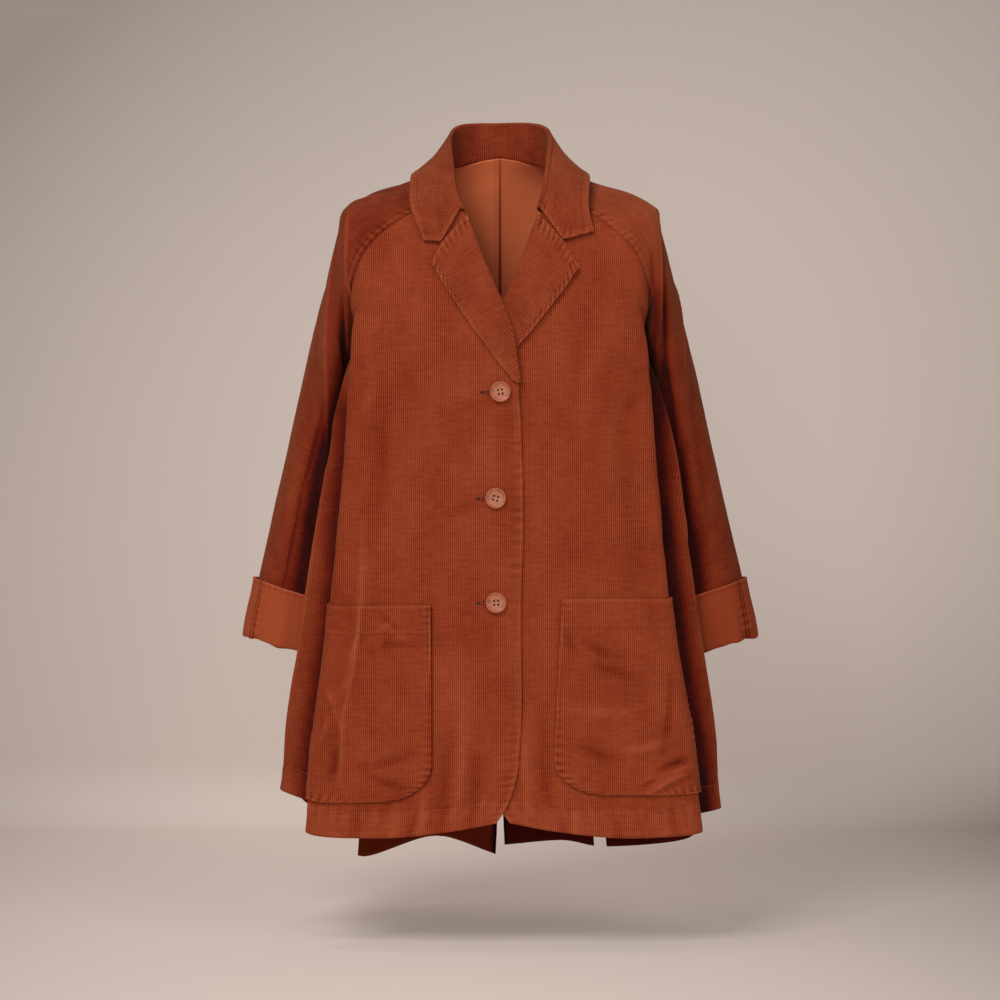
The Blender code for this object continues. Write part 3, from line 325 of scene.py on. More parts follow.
# ---- what the photograph adds to those lines ----
# Creases run from x, z to x2, z2 on the panel that is named. Width is from the middle to where a
# crease has all but gone, height is outwards, so a trough is negative, and bow is how far its
# middle lies to one side.
CREASES = {
    "front": Table(
        "side x z x2 z2 bow width height",
        # wearer's right, left in the picture
        ("fold ridge", -1, 196, -300, 228, -640, 3, 17, 2.9),
        ("from the armhole", -1, 168, -215, 150, -330, -4, 15, -2.5),
        ("side drape", -1, 150, -300, 176, -530, 6, 22, -2.9),
        ("broad ridge", -1, 160, -235, 162, -400, 2, 17, 6.5),
        ("beside it", -1, 142, -250, 144, -400, 2, 15, -4),
        ("long ridge", -1, 166, -420, 172, -560, 3, 10, 4.3),
        ("above the pocket", -1, 140, -560, 120, -420, -4, 19, -1.8),
        ("chest drag", -1, 90, -200, 120, -300, 4, 25, -2.2),
        ("under the lapel", -1, 60, -215, 40, -330, 3, 22, 1.8),
        ("belly", -1, 75, -400, 85, -520, 3, 25, -1.9),
        ("button drag", -1, 16, -282, 60, -300, -2, 9, -1.4),
        ("button drag", -1, 20, -405, 70, -416, 2, 9, -1.4),
        ("button drag", -1, 18, -530, 60, -548, -2, 9, -1.2),
        ("skirt drape", -1, 45, -640, 52, -780, 3, 12, 3.2),
        ("skirt drape", -1, 64, -690, 74, -806, 2, 11, -4.7),
        ("skirt drape", -1, 30, -700, 36, -800, 2, 12, -2.9),
        ("hem drape", -1, 90, -745, 98, -812, 2, 9, 5),
        ("hem drape", -1, 104, -770, 112, -815, 1, 8, -5),
        ("hem drape", -1, 122, -765, 128, -812, 1, 9, 3.5),
        ("hem drape", -1, 170, -770, 176, -812, 1, 12, -3.1),
        # wearer's left, right in the picture
        ("fold ridge", +1, 186, -320, 222, -700, -4, 19, 3.2),
        ("from the armhole", +1, 172, -200, 150, -320, -6, 17, -2.9),
        ("from the armhole", +1, 160, -190, 120, -270, -4, 20, -1.8),
        ("side drape", +1, 155, -280, 165, -500, 5, 20, -2.5),
        ("chest drag", +1, 110, -180, 90, -290, 4, 25, -2.2),
        ("chest drag", +1, 60, -250, 110, -340, -4, 22, 1.8),
        ("belly", +1, 90, -390, 70, -520, 4, 24, -1.9),
        ("belly", +1, 46, -330, 44, -480, 2, 20, 1.8),
        ("skirt drape", +1, 52, -650, 58, -790, 2, 12, -2.9),
        ("skirt drape", +1, 30, -660, 34, -790, 2, 12, 2.5),
        ("hem drape", +1, 75, -775, 80, -812, 1, 9, -5),
        ("hem drape", +1, 88, -770, 94, -812, 1, 8, 4.1),
        ("hem drape", +1, 140, -780, 146, -814, 1, 9, -3.5),
        ("hem drape", +1, 208, -765, 214, -806, 1, 9, -4.5),
    ),
    "sleeve_front": Table(
        "side x z x2 z2 bow width height sharp",
        # wearer's right, left in the picture
        ("from the shoulder", -1, 184, -45, 183, -200, -1, 12, 4.5, 1),
        ("black gap", -1, 190.5, -150, 192, -250, -1, 9, -7, 0),
        ("black gap", -1, 192, -235, 205, -360, -1, 10, -10, 0),
        ("outer ridge", -1, 199, -85, 214, -272, -2, 10, 5, 1),
        ("outer ridge", -1, 213, -262, 221, -430, 1, 10, 4.5, 1),
        ("outside the ridge", -1, 214, -110, 230, -300, -2, 18, -1.6, 0),
        ("overarm seam", -1, 219, -289, 246, -386, 1, 3, -1.4, 1),
        ("overarm seam", -1, 245, -382, 274, -520, 1, 3, -1.4, 1),
        ("beside the seam", -1, 240, -320, 272, -460, -2, 16, 2.2, 0),
        ("elbow", -1, 262, -420, 216, -470, 6, 18, -2, 0),
        ("forearm", -1, 290, -455, 240, -520, -4, 16, -2, 0),
        ("above the cuff", -1, 292, -520, 262, -585, 3, 14, -2, 0),
        # wearer's left, right in the picture
        ("from the shoulder", +1, 193.5, -55, 193.5, -215, 0, 10, 5, 1),
        ("black gap", +1, 201.5, -90, 203.5, -250, 0, 10, -5.8, 0),
        ("black gap", +1, 203, -235, 213, -340, -2, 10, -5.8, 0),
        ("inside the edge", +1, 186, -100, 187, -180, 0, 8, -3, 0),
        ("outer ridge", +1, 217, -120, 227, -240, -1, 10, 3, 1),
        ("overarm seam", +1, 230, -186, 276.5, -378, 1, 3, -1.4, 1),
        ("overarm seam", +1, 275, -374, 303, -505, 1, 3, -1.4, 1),
        ("soft ridge", +1, 241, -350, 236, -500, 3, 16, 3.4, 0),
        ("soft trough", +1, 226, -330, 222, -480, 3, 14, -3.4, 0),
        ("outer trough", +1, 232, -220, 262, -430, 2, 14, -2.4, 0),
        ("elbow", +1, 280, -420, 240, -470, 5, 16, -1.8, 0),
        ("above the cuff", +1, 296, -500, 266, -565, 3, 14, -2, 0),
    ),
    "sleeve_back": Table(
        "side x z x2 z2 bow width height",
        ("long trough", -1, 198, -120, 226, -420, 4, 16, -3.4),
        ("long ridge", -1, 216, -140, 252, -460, 4, 16, 2.9),
        ("elbow", -1, 276, -400, 226, -440, 5, 15, -3.1),
        ("elbow", -1, 280, -440, 230, -490, -4, 14, -2.3),
        ("long trough", +1, 202, -110, 222, -400, 3, 16, -3.1),
        ("long ridge", +1, 222, -160, 258, -500, -4, 17, 3.1),
        ("elbow", +1, 274, -390, 222, -430, -5, 15, -2.9),
        ("elbow", +1, 284, -455, 234, -500, 4, 13, -2.3),
    ),
    "back": Table(
        "side x z x2 z2 bow width height",
        ("yoke drape", -1, 60, -100, 80, -380, 6, 28, -3.3),
        ("from the armhole", -1, 155, -170, 110, -330, 6, 24, -3.3),
        ("pipe", -1, 100, -300, 112, -760, 4, 24, -4.5),
        ("pipe", -1, 40, -360, 44, -820, -3, 24, -3.9),
        ("hem drape", -1, 66, -700, 70, -850, 2, 14, 3.6),
        ("hem drape", -1, 20, -740, 22, -850, 1, 10, -2.4),
        ("yoke drape", +1, 70, -90, 66, -340, -6, 28, -3),
        ("from the armhole", +1, 158, -180, 122, -350, -5, 26, -3.6),
        ("pipe", +1, 110, -330, 120, -740, -4, 22, -4.2),
        ("pipe", +1, 46, -400, 50, -830, 3, 24, -3.9),
        ("hem drape", +1, 76, -720, 82, -850, 2, 14, 3.3),
        ("hem drape", +1, 26, -750, 30, -850, 1, 10, -2.7),
    ),
    "pocket": Table(
        "side x z x2 z2 bow width height",
        ("branch", -1, 207, -630, 197, -656, 1, 7, 3.3),
        ("branch", -1, 197, -656, 191, -680, 1, 7, 2.7),
        ("knee", -1, 168, -560, 183, -606, -2, 7, 3.8),
        ("knee", -1, 183, -606, 191, -634, 1, 7, 3.3),
        ("short drag", -1, 128, -543, 142, -555, 1, 6, 2.5),
        ("short drag", -1, 140, -571, 149, -579, 1, 6, 2.5),
        ("light fold", -1, 165, -510, 188, -660, 4, 9, 7.4),
        ("light fold", -1, 188, -650, 193, -745, 2, 8, 6.9),
        ("under the hem", -1, 130, -566, 160, -585, 3, 7, -3),
        ("under the hem", -1, 98, -574, 145, -572, 2, 7, -3),
        ("hem drag", -1, 120, -555, 142, -540, 1, 6, -2.7),
        ("outer drag", -1, 206, -660, 216, -690, 2, 7, 3.9),
        ("lower drag", -1, 100, -700, 170, -722, 4, 11, -2.7),
        ("corner drag", -1, 110, -745, 160, -730, 2, 9, -2.7),
        ("corner drag", -1, 196, -700, 206, -735, 2, 9, -3),
        ("from the corner", +1, 78, -560, 92, -582, 1, 9, -3),
        ("long fold", +1, 232, -720, 168, -740, 3, 7, 3.8),
        ("long fold", +1, 228, -712, 190, -724, 2, 7, -3),
        ("under the hem", +1, 96, -566, 150, -590, 4, 10, -3),
        ("under the hem", +1, 110, -600, 160, -615, -3, 11, -2.7),
        ("steep trough", +1, 194, -705, 206, -610, 4, 9, -3),
        ("corner fold", +1, 170, -745, 222, -715, -3, 7, -3),
        ("corner fold", +1, 178, -752, 224, -728, -2, 7, 5.9),
        ("corner fold", +1, 150, -700, 200, -690, 3, 11, 3.3),
        ("belly", +1, 90, -690, 140, -712, 3, 13, -3),
        ("belly", +1, 80, -650, 160, -655, 3, 13, 2.7),
        ("tack", -1, 96, -526.5, 95.5, -544, 0, 3, -1.6),
        ("tack", -1, 91.5, -523, 91, -543, 0, 3, 1.6),
    ),
    "collar": Table(
        "side x z x2 z2 bow width height",
        ("drag to the point", -1, 58, -10, 70, -72, 3, 12, -1.6),
        ("point", -1, 86, -58, 90, -84, 1, 6, -1.6),
        ("point", -1, 78, -55, 80, -84, 1, 5, 1.2),
        ("drag to the point", +1, 66, 15, 82, -50, -3, 14, -1.8),
        ("fold ridge", +1, 62, -5, 66, -65, 1, 10, 1.2),
    ),
    "lapel": Table(
        "side x z x2 z2 bow width height",
        ("edge wave", -1, 82, -132, 70, -126, 0, 6, 1.4),
        ("edge wave", -1, 74, -148, 62, -142, 0, 6, -1.4),
        ("edge wave", -1, 68, -158, 56, -150, 0, 6, 1.4),
        ("edge wave", -1, 60, -170, 50, -160, 0, 6, -1.2),
        ("belly", -1, 50, -130, 20, -210, 3, 16, -1),
        ("belly", +1, 60, -120, 24, -200, 3, 18, -1.2),
        ("edge wave", +1, 86, -124, 74, -122, 0, 7, 1),
    ),
}
CREASE_STEPS = 12
FOLD_EDGE = 0.0012  # how round the edge of a sharp fold is
DEEP_TROUGH = 0.0055  # deeper ones get painted shade along them
SOFT_WIDTH = 0.012  # wider creases get less wear and painted light and shade
SOFT_WEAR_AND_SHADE = 0.0042  # height of a soft crease that wear and painted highlight make fully light on a ridge, and painted shade fully dark in a trough
FOLD_WEAR_AND_SHADE_WIDTH = 0.0022  # width of the line along a sharp fold: wear and painted highlight on a ridge, painted shade in a trough
FOLD_LIGHT = 1.1  # how light, or in a trough how dark, that line is
SOFT_LIGHT = (-0.75, 0.8)  # and the least and most that a soft crease gets
DEEP_TROUGH_SHADE = 1.8  # how dark the painted shade in a deep trough is
WEAR_AND_SHADE_HEIGHT = 0.0010  # height of a seam's ridge that wear makes fully light, and depth of a groove that painted shade makes fully dark
WEAR_AND_SHADE_RANGE = (-2.6, 1.3)  # least and most of all wear and painted light and shade together
SLEEVE_PAINTED_SHADE = 0.35  # painted shade: how much darker the sleeves are than the fronts
SHOULDER_PAINTED_LIGHT = {+1: 0.6, -1: -0.4}  # painted light below the wearer's left shoulder and painted shade below the right: how much lighter it is there
SHOULDER_FADE = (-0.06, -0.20)  # the heights that this comes in between

# Folds that lie behind one another in the front view, so their ends are rows and columns of the
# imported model's grid: on a front the fold is column 7, the valley 9 and the lobe 12.
FOLDS = {
    "front": Table(
        "side row column row2 column2 width height sharp",
        ("fold edge", -1, 16, 7.6, 3, 7.2, 12, 5, 1),
        ("fold edge", -1, 3.5, 7.2, 0.2, 7.4, 12, 3, 0),
        ("valley", -1, 16, 9.4, 8, 9.4, 16, -11, 0),
        ("valley", -1, 8.5, 9.2, 0, 9, 14, -6, 0),
        ("lobe", -1, 15, 12, 12, 12, 26, 7, 0),
        ("lobe edge", -1, 11, 11.8, 1, 12, 11, 4, 1),
        ("behind the fold", -1, 7.5, 5.9, 2, 6.1, 20, -2.4, 0),
        ("fold edge", +1, 14.5, 7.2, 8, 7.4, 12, 5, 1),
        ("fold edge", +1, 8.5, 7.4, 0.2, 7.4, 12, 3.6, 0),
        ("valley", +1, 15, 9.2, 8, 9.2, 16, -12, 0),
        ("valley", +1, 8.5, 9.2, 0, 9.2, 16, -11, 0),
        ("lobe edge", +1, 16, 12, 9, 12, 13, 8.5, 1),
        ("lobe edge", +1, 9.5, 12, 0.5, 12, 12, 4, 1),
        ("beside the fold", +1, 12, 5.6, 6.5, 6, 20, -2.2, 0),
    ),
    "back": Table(
        "side row column row2 column2 width height sharp",
        ("corner", -1, 14, 6, 1, 6, 20, 4, 0),
        ("corner", +1, 14, 6, 1, 6, 20, 4.4, 0),
        ("hollow", -1, 14, 2.6, 2, 2.6, 18, -4, 0),
        ("hollow", +1, 13, 2.8, 2, 2.4, 18, -3.6, 0),
    ),
    "sleeve_front": Table(
        "side row column row2 column2 width height sharp",
        ("towards the body", -1, 4.6, 0.4, 9, 0.4, 30, 5, 0),
        ("towards the body", +1, 4.6, 0.4, 9, 0.4, 30, 5, 0),
        ("slope", -1, 1.6, 10.4, 3.4, 10.8, 30, -5, 0),
        ("by the neck", -1, 0.2, 10, 1, 11, 24, 5, 0),
        ("by the neck", +1, 0.2, 10, 1, 11, 24, 6, 0),
        ("shoulder", +1, 4, 9, 4.2, 11, 14, 2.4, 0),
    ),
    "sleeve_back": Table(
        "side row column row2 column2 width height sharp",
        ("towards the body", -1, 4.6, 10.6, 9, 10.6, 30, 5, 0),
        ("towards the body", +1, 4.6, 10.6, 9, 10.6, 30, 5, 0),
        ("slope", -1, 1.6, 0.6, 3.4, 0.2, 30, -5, 0),
        ("by the neck", -1, 0.2, 1, 1, 0, 24, 5, 0),
        ("by the neck", +1, 0.2, 1, 1, 0, 24, 6, 0),
        ("shoulder", +1, 4.2, 0, 4, 2, 14, 2.4, 0),
    ),
}

# Painted shade on cloth behind an edge in the front view: the columns of the front that hold that
# edge, how dark the cloth is behind it, the height that this starts at, and how softly it starts.
OVERLAPS = {
    "front": ((5, 9), {+1: 3.4, -1: 2.2}, {+1: -0.20, -1: -0.24}, 0.06),
    "sleeve_front": ((10, 14), {+1: 3.4, -1: 3.4}, {+1: -0.13, -1: -0.20}, 0.03),
}
SHADE_REACH = 0.0150  # how far past the edge it stays dark
SHADE_END = (0.03, 0.04)
EDGE_SWELL = 0.0035  # how far the creases swell those edges
VALLEY_COLUMN = 9  # the front's shade lies behind this column
VIEW_DISTANCE = 3.5

# The wrong side's shade: how light or dark, and the heights or distances that it fades between.
# The light in the open neck is painted light, the dark towards the hem painted shade.
NECK_LIGHT = (2.8, -0.05, -0.30)  # painted light on the back, in the open neck
HEM_DARK = (2.3, -0.72, -0.55)
CENTRE_FLAP = (0.9, 0.009, 0.007)  # the centre seam's pressed allowance
CENTRE_LINE = (3.5, 0.0002, 0.0013)  # the centre seam itself

CLOTH_GAP = 0.0001  # what two pieces of dressed cloth keep between them at a seam
RIM_SWELL = 0.10  # how far a wall's rim swells out, as a share of the wall

# Soft unevenness of the hanging cloth: size of the waves across and along, and their height.
DRAPE = (
    {"across": 0.110, "along": 0.300, "height": 0.0022},
    {"across": 0.045, "along": 0.080, "height": 0.0008},
    {"across": 0.020, "along": 0.012, "height": 0.00025},
)
NECK_CALM = (0.006, 0.022)  # distance from the neck seam within which the cloth lies calm
NECK_CREASE, NECK_DRAPE = 0.15, 0.3  # the share of its creases and waves that is left there
CUFF_WAVES = ((5, 0.4, 0.0013), (9, 1.7, 0.0009), (17, 2.9, 0.0005))  # count, start and height
CUFF_CALM = 0.35  # share of the waves that is left at the cuff's turn
CUFF_WAVE_FADE = (0.055, 0.015)
CUFF_DRAPE, STAND_DRAPE = 0.6, 0.3  # shares of the drape

# ---- sewing, in metres ----
EDGE_STITCH = 0.0018  # from the edge to the first row of topstitching
WIDE_STITCH = 0.0078  # and to the second
HEM_DEPTH = 0.031
TWO_ROWS = (EDGE_STITCH, WIDE_STITCH)
HEM_SWELL = 0.00035  # how much thicker the hem is, and how high its ridge stands
HEM_RIDGE = (0.0016, 0.0014)  # the ridge's place past the stitches, and its width
HEM_PULL = (0.0003, 0.010)  # height and reach of the hem's puckers
RAGLAN_STITCH = 0.0062
RAGLAN_PUCKER = 0.0011
RAGLAN_REACH = (0.02, 0.03)
RAGLAN_DITCH = 0.0012
BREAK_FADE = (-0.285, -0.262)  # heights at which the front edge's sewing goes under the lapel
BREAK_HEIGHT = -0.266
LAPEL_PUCKER = 0.0012
POCKET_STITCH = 0.0022
POCKET_SINK = 0.0005  # how deep the pocket's sewn edges lie, and how much thicker its hem is
POCKET_EDGE = 0.004
POCKET_ROLL = 0.0011
POCKET_PUCKER = 0.0011
POCKET_HEM = 0.031
POCKET_HEM_STEP = 0.0016  # from one row of its hem's stitches to the other
POCKET_HEM_GROOVE = 0.0011
POCKET_HEM_RIDGE = (0.0004, 0.003, 0.0016)  # height, place before the stitches and width
POCKET_MOUTH = 0.002  # width of the roll at the pocket's open edge
POCKET_EDGE_SHADE = {+1: (0.4, 0.6, 0.4), -1: (2.4, 0.6, 0.4)}  # painted shade at its inner, outer and lower edge
POCKET_EDGE_SHADE_FADE = (0.0004, 0.0016)
TACK_IN, TACK_PITCH = 0.0030, 0.0016  # the close stitches at the pocket's upper corners
CUFF_EDGE_STITCH = 0.004
CUFF_STITCH = 0.0020
CUFF_SEAM_IN = 0.0130  # from the cuff's outer end, seen from the front
CUFF_SEAM_REACH = (0.010, 0.014)
CUFF_PUCKER = 0.0013
CUFF_SEAM_SHADE = (1.3, 0.0012)  # how dark the painted shade in the rows beside the cuff's seam is, and their width
CUFF_LIGHT = 0.15, -0.35  # the cuffs' painted light, and the painted shade that the wearer's left one adds
CLOSING_DITCH = (0.0010, 0.0018)  # depth and width of the seam that closes the cuff
STAND_PAINTED_SHADE = (0.7, 1.0, 0.02, 0.09)  # painted shade on the stand, what its ends add, and where this fades
SEWN_EDGES = {
    "pocket": ("first_column", "last_column", "first_row"),
    "lapel": ("last_column", "first_row"),
    "leaf": ("last_row", "first_column", "last_column"),
}
STITCH_LENGTH = 0.0025
STITCH_PITCH = 0.0031
STITCH_RADIUS = 0.00038
SEAM_GROOVE = 0.0005  # how deep a row of stitches draws the cloth in
SEAM_GROOVE_WIDTH = 0.0016
PUCKER_PITCH = 0.0095
PUCKER_HEIGHT = 0.0006
PUCKER_REACH = 0.009
EDGE_ROLL = 0.0006  # how far a turned edge swells
BUTTONHOLE_REACH = 0.0235  # from the button's middle to the far end of its buttonhole
BUTTONHOLE_WIDTH = 0.0030
BUTTONHOLE_STITCHES = 46
BUTTONHOLE_DROP = 0.0006  # how far below the button's middle it lies
BUTTON_PROFILE = (
    *((0.0, -0.0021), (0.0103, -0.0021), (0.0112, -0.0016), (0.0119, -0.0009), (0.01245, 0.0)),
    *((0.0125, 0.0006), (0.0124, 0.0013), (0.0121, 0.0018), (0.0116, 0.0021), (0.0110, 0.0020)),
    *((0.0104, 0.0016), (0.0097, 0.0010), (0.0089, 0.0007), (0.0070, 0.0005), (0.0, 0.0004)),
)
BUTTON_HOLE_OFFSET = 0.0024
BUTTON_HOLE_RADIUS = 0.0013
THREAD_LIFTS = (-0.0004, 0.0, 0.0004)
THREAD_DEPTH = -0.0012
THREAD_SCALE = (2.3, 1.1, 1.6)  # of one stitch
BUTTONHOLE_SCALE = (0.8, 1.4, 1.4)

# ---- finishes and studio ----
# Sizes in metres of the cloth's uneven patches, along the grain map's axes or the jacket's own.
WOBBLE_GRAIN = (0.012, 0.030, 1.0)
TUFT_GRAIN = (0.0016, 0.0009, 1.0)
BRUISE_GRAIN = (0.016, 0.0036, 1.0)
WEAR_GRAIN = (0.045, 0.045, 0.070)
CLEAR_GRAIN = (0.030, 0.030, 0.060)  # of how clearly the ribs show
RIB_WOBBLE = 0.0011  # how far the ribs stray sideways
RUB_SHADE = 0.34  # how much lighter wear and painted light, and darker painted shade, make the pile per unit
PILE_TINT = (0.0, 0.045, 0.024)  # pile made lighter by wear and painted light is paler as well
DARKEST = (0.010, 0.0020, 0.0010)
FLOOR_HEIGHT = -0.94
WALL_PLACE = 1.2
SWEEP = 0.10
BACKDROP_REACH = (5.0, 6.0)  # half the backdrop's width and the wall's height, and how far forward
# Painted light and shade on the backdrop: how light the wall is by x and z, and the floor by x and
# y: shares of 1, x, y, x2, xy and y2.
WALL_SHADE = (0.938, 0.101, -0.305, -0.268, 0.180, -0.334)
FLOOR_SHADE = (1.105, -0.135, 0.030, -0.640, -0.085, -0.003)
LIGHTS = {
    "key": ((-1.25, -2.5, 2.0), 1.4),
    "front": ((-0.3, -3.5, 0.1), 0.8),
    "fill": ((2.0, -2.8, 1.0), 1.8),
    "top": ((-0.95, -0.35, 2.6), 0.7),
}
LIGHT_COLOUR = (1.0, 0.97, 0.94)
AMBIENT_COLOUR = (1.0, 0.96, 0.93, 1)
TARGET = Vector((0, 0, -0.40))  # the lights and the camera point here
LENS, SENSOR = 100.8, 36


def hem_lean(side):
    return next(row for row in HEM.rows() if row["side"] == side)


def lap_step(x, z, side):
    """How far a front moves out (wearer's right) or in (left), where it laps the other."""
    lapel = fade(abs(z + 0.2), 0.05, 0.11) * LAPEL_STEP
    return side * (LAYER_STEP + lapel) * fade(x, *LAP_FADE)


def front_row(row, side):
    """The named points of a front row, from the front edge to the seam."""
    height, at, hem = FRONT_HEIGHTS.row_at(row), FRONT.row_at(row), hem_lean(side)
    skirt = fade(row, 0, LOW_ROWS - 3)
    side_z = height["z_side"] + hem["side_up"] * skirt
    edge_x = EDGE.at("x", height["z_edge"]) + FRONT_LEAN * side
    fold_x = at["fold_x"] + hem["fold_out"] * skirt
    lap_x = edge_x + (fold_x - edge_x) * LAP_SHARE
    chest_x = edge_x + (fold_x - edge_x) * CHEST_SHARE
    chest_y = at["edge_y"] + (at["fold_y"] - at["edge_y"]) * CHEST_DEPTH
    points = np.array(
        [
            (edge_x, at["edge_y"], height["z_edge"]),
            (lap_x, at["edge_y"], (height["z_edge"] + height["z_chest"]) / 2),
            (chest_x, chest_y, height["z_chest"]),
            (fold_x, at["fold_y"], height["z_fold"]),
            (at["valley_x"], at["valley_y"], (height["z_fold"] + side_z) / 2),
            (at["lobe_x"], at["lobe_y"], side_z),
            (at["seam_x"], at["seam_y"], side_z),
        ]
    )
    points[:, 1] += lap_step(points[:, 0], points[:, 2], side)
    return points


def fine_rows(count):
    return np.arange(count * FINE_ROWS + 1) / FINE_ROWS


def front_surface(side):
    """Grid of points of one front, hem row first, front edge first."""
    spans = finer(FRONT_SPANS, FINE_COLUMNS)
    return np.array([curve(front_row(row, side), spans) for row in fine_rows(ROWS)])


def back_row(row, side):
    """The named points of a back row, from the seam to the centre back."""
    height, at, hem = BACK_HEIGHTS.row_at(row), BACK.row_at(row), hem_lean(side)
    if row <= LOW_ROWS:  # the side seam is the front's
        at |= {name: float(FRONT.at(name, row)) for name in ("seam_x", "seam_y")}
        height["z_seam"] = float(FRONT_HEIGHTS.at("z_side", row))
    skirt = fade(row, 0, LOW_ROWS - 3)
    low = fade(row, 0, VENT_ROWS + 1)
    gap = (SLIT_TOP_WIDTH + (SLIT_WIDTH - SLIT_TOP_WIDTH) * fade(row, 0, VENT_ROWS)) / 2
    slit_x = at["slit_x"] - hem["slit_in"] * skirt
    slope = (at["pipe_y"] - at["corner_y"]) / (at["corner_x"] - at["pipe_x"])
    slit_y = at["slit_y"] + slope * hem["slit_in"] * skirt
    z_seam = height["z_seam"] + hem["side_up"] * skirt
    z_slit = height["z_slit"] + hem["slit_up"] * low
    z_corner = z_seam + (z_slit - z_seam) * CORNER_DROP + hem["corner_up"] * low
    z_pipe = (height["z_slit"] + height["z_centre"]) / 2 + hem["pipe_up"] * low
    vent_x = CENTRE_VENT * max(0, 1 - row / (VENT_ROWS + 1))
    return np.array(
        [
            (at["seam_x"], at["seam_y"], z_seam),
            (at["hollow_x"], at["hollow_y"], z_seam + (z_corner - z_seam) * HOLLOW_DROP),
            (at["corner_x"] + hem["corner_out"] * skirt, at["corner_y"], z_corner),
            (slit_x + gap, slit_y - slope * gap, z_slit + hem["step_up"] * low),
            (slit_x - gap, slit_y + slope * gap, z_slit),
            (at["pipe_x"], at["pipe_y"] + hem["pipe_out"] * skirt, z_pipe),
            (vent_x, at["centre_y"], height["z_centre"] + hem["centre_up"] * low),
        ]
    )


def back_surface(side):
    spans = finer(BACK_SPANS, FINE_COLUMNS)
    return np.array([curve(back_row(row, side), spans) for row in fine_rows(ROWS)])


def neck_bridge(front, back):
    """Points of the neckline across the top of the sleeve, from the front to the back."""
    start, end = front[-1, -1], back[-1, 0]
    share = np.linspace(0, 1, FINE_ROWS + 1)[:, None]
    rise, fall = start + (NECK_MIDDLE - start) * share, NECK_MIDDLE + (end - NECK_MIDDLE) * share
    return np.concatenate([rise, fall[1:]])


def half_neckline(front, back):
    """Points from the front's edge over the sleeve's top to the centre back."""
    return np.concatenate([front[-1], neck_bridge(front, back)[1:-1], back[-1]])


def sleeve_surface(front, back):
    """Grid of one sleeve: rows from the raglan seam to the hem, columns round it from the underarm."""
    seam_rows = slice(LOW_ROWS * FINE_ROWS, None)
    bridge = neck_bridge(front, back)[1:-1]
    ring = np.concatenate([front[seam_rows, -1], bridge, back[seam_rows, 0][::-1]])
    climb = TURNS.at("turn", LOW_ROWS + fine_rows(HIGH_ROWS))
    across = np.linspace(climb[-1], 360 - climb[-1], 2 * FINE_ROWS + 1)[1:-1]
    turns = np.radians(np.concatenate([climb, across, 360 - climb[::-1]]))
    even = np.linspace(0, 2 * math.pi, len(turns))
    rings = [ring]
    for number, values in enumerate(SLEEVE.rows()):
        eased = fade(number, len(SLEEVE.values) - 1, 1)
        rings.append(sleeve_ring(values, turns + (even - turns) * eased))
    rings = np.array(rings)
    spans = finer(SLEEVE_SPANS, FINE_SLEEVE)
    grid = np.stack([curve(rings[:, k], spans) for k in range(len(turns))], axis=1)
    top = np.clip(-np.cos(turns), 0, 1) ** 2
    share = np.arange(spans[0] + 1) / spans[0]
    grid[: spans[0] + 1, :, 2] += SADDLE_LIFT * np.outer(np.sin(math.pi * share), top)
    return grid


def sleeve_ring(ring, turns):
    """Points round one ring, from its innermost point over the front."""
    outer = np.array((ring["outer_x"], ring["mid_y"], ring["outer_z"]))
    inner = np.array((ring["inner_x"], ring["mid_y"], ring["inner_z"]))
    power = 2 / ring["squareness"]
    inward = np.sign(np.cos(turns)) * np.abs(np.cos(turns)) ** power
    ahead = np.sign(np.sin(turns)) * np.abs(np.sin(turns)) ** power
    reach = np.where(ahead > 0, ring["reach_front"], ring["reach_back"])
    points = (outer + inner) / 2 + np.outer(inward, (inner - outer) / 2)
    points[:, 1] -= reach * ahead
    return points


class Height:
    """Reads a panel's y at x and z from the triangles of its grid."""

    def __init__(self, grid):
        a, b, c, d = grid[:-1, :-1], grid[:-1, 1:], grid[1:, 1:], grid[1:, :-1]
        corners = [np.concatenate([a, a]), np.concatenate([b, c]), np.concatenate([c, d])]
        self.corners = [corner.reshape(-1, 3) for corner in corners]

    def at(self, x, z):
        flat = [corner[:, (0, 2)] - np.array((x, z)) for corner in self.corners]
        areas = np.stack([cross(flat[k - 2], flat[k - 1]) for k in range(3)])
        total = areas.sum(axis=0)
        shares = areas / np.where(np.abs(total) < 1e-12, 1e-12, total)
        best = int(np.argmax(shares.min(axis=0)))
        return float(sum(shares[k, best] * self.corners[k][best, 1] for k in range(3)))


def cross(one, other):
    return one[:, 0] * other[:, 1] - one[:, 1] * other[:, 0]


def outer_line(side, share):
    """The x and z of the lapel's outer edge, from its point down to its end."""
    start, end = np.array(LAPEL_POINT[side]), np.array(LAPEL_END)
    across = np.array((end[1] - start[1], start[0] - end[0]))
    return start + (end - start) * share - unit(across) * LAPEL_BOW * math.sin(math.pi * share)


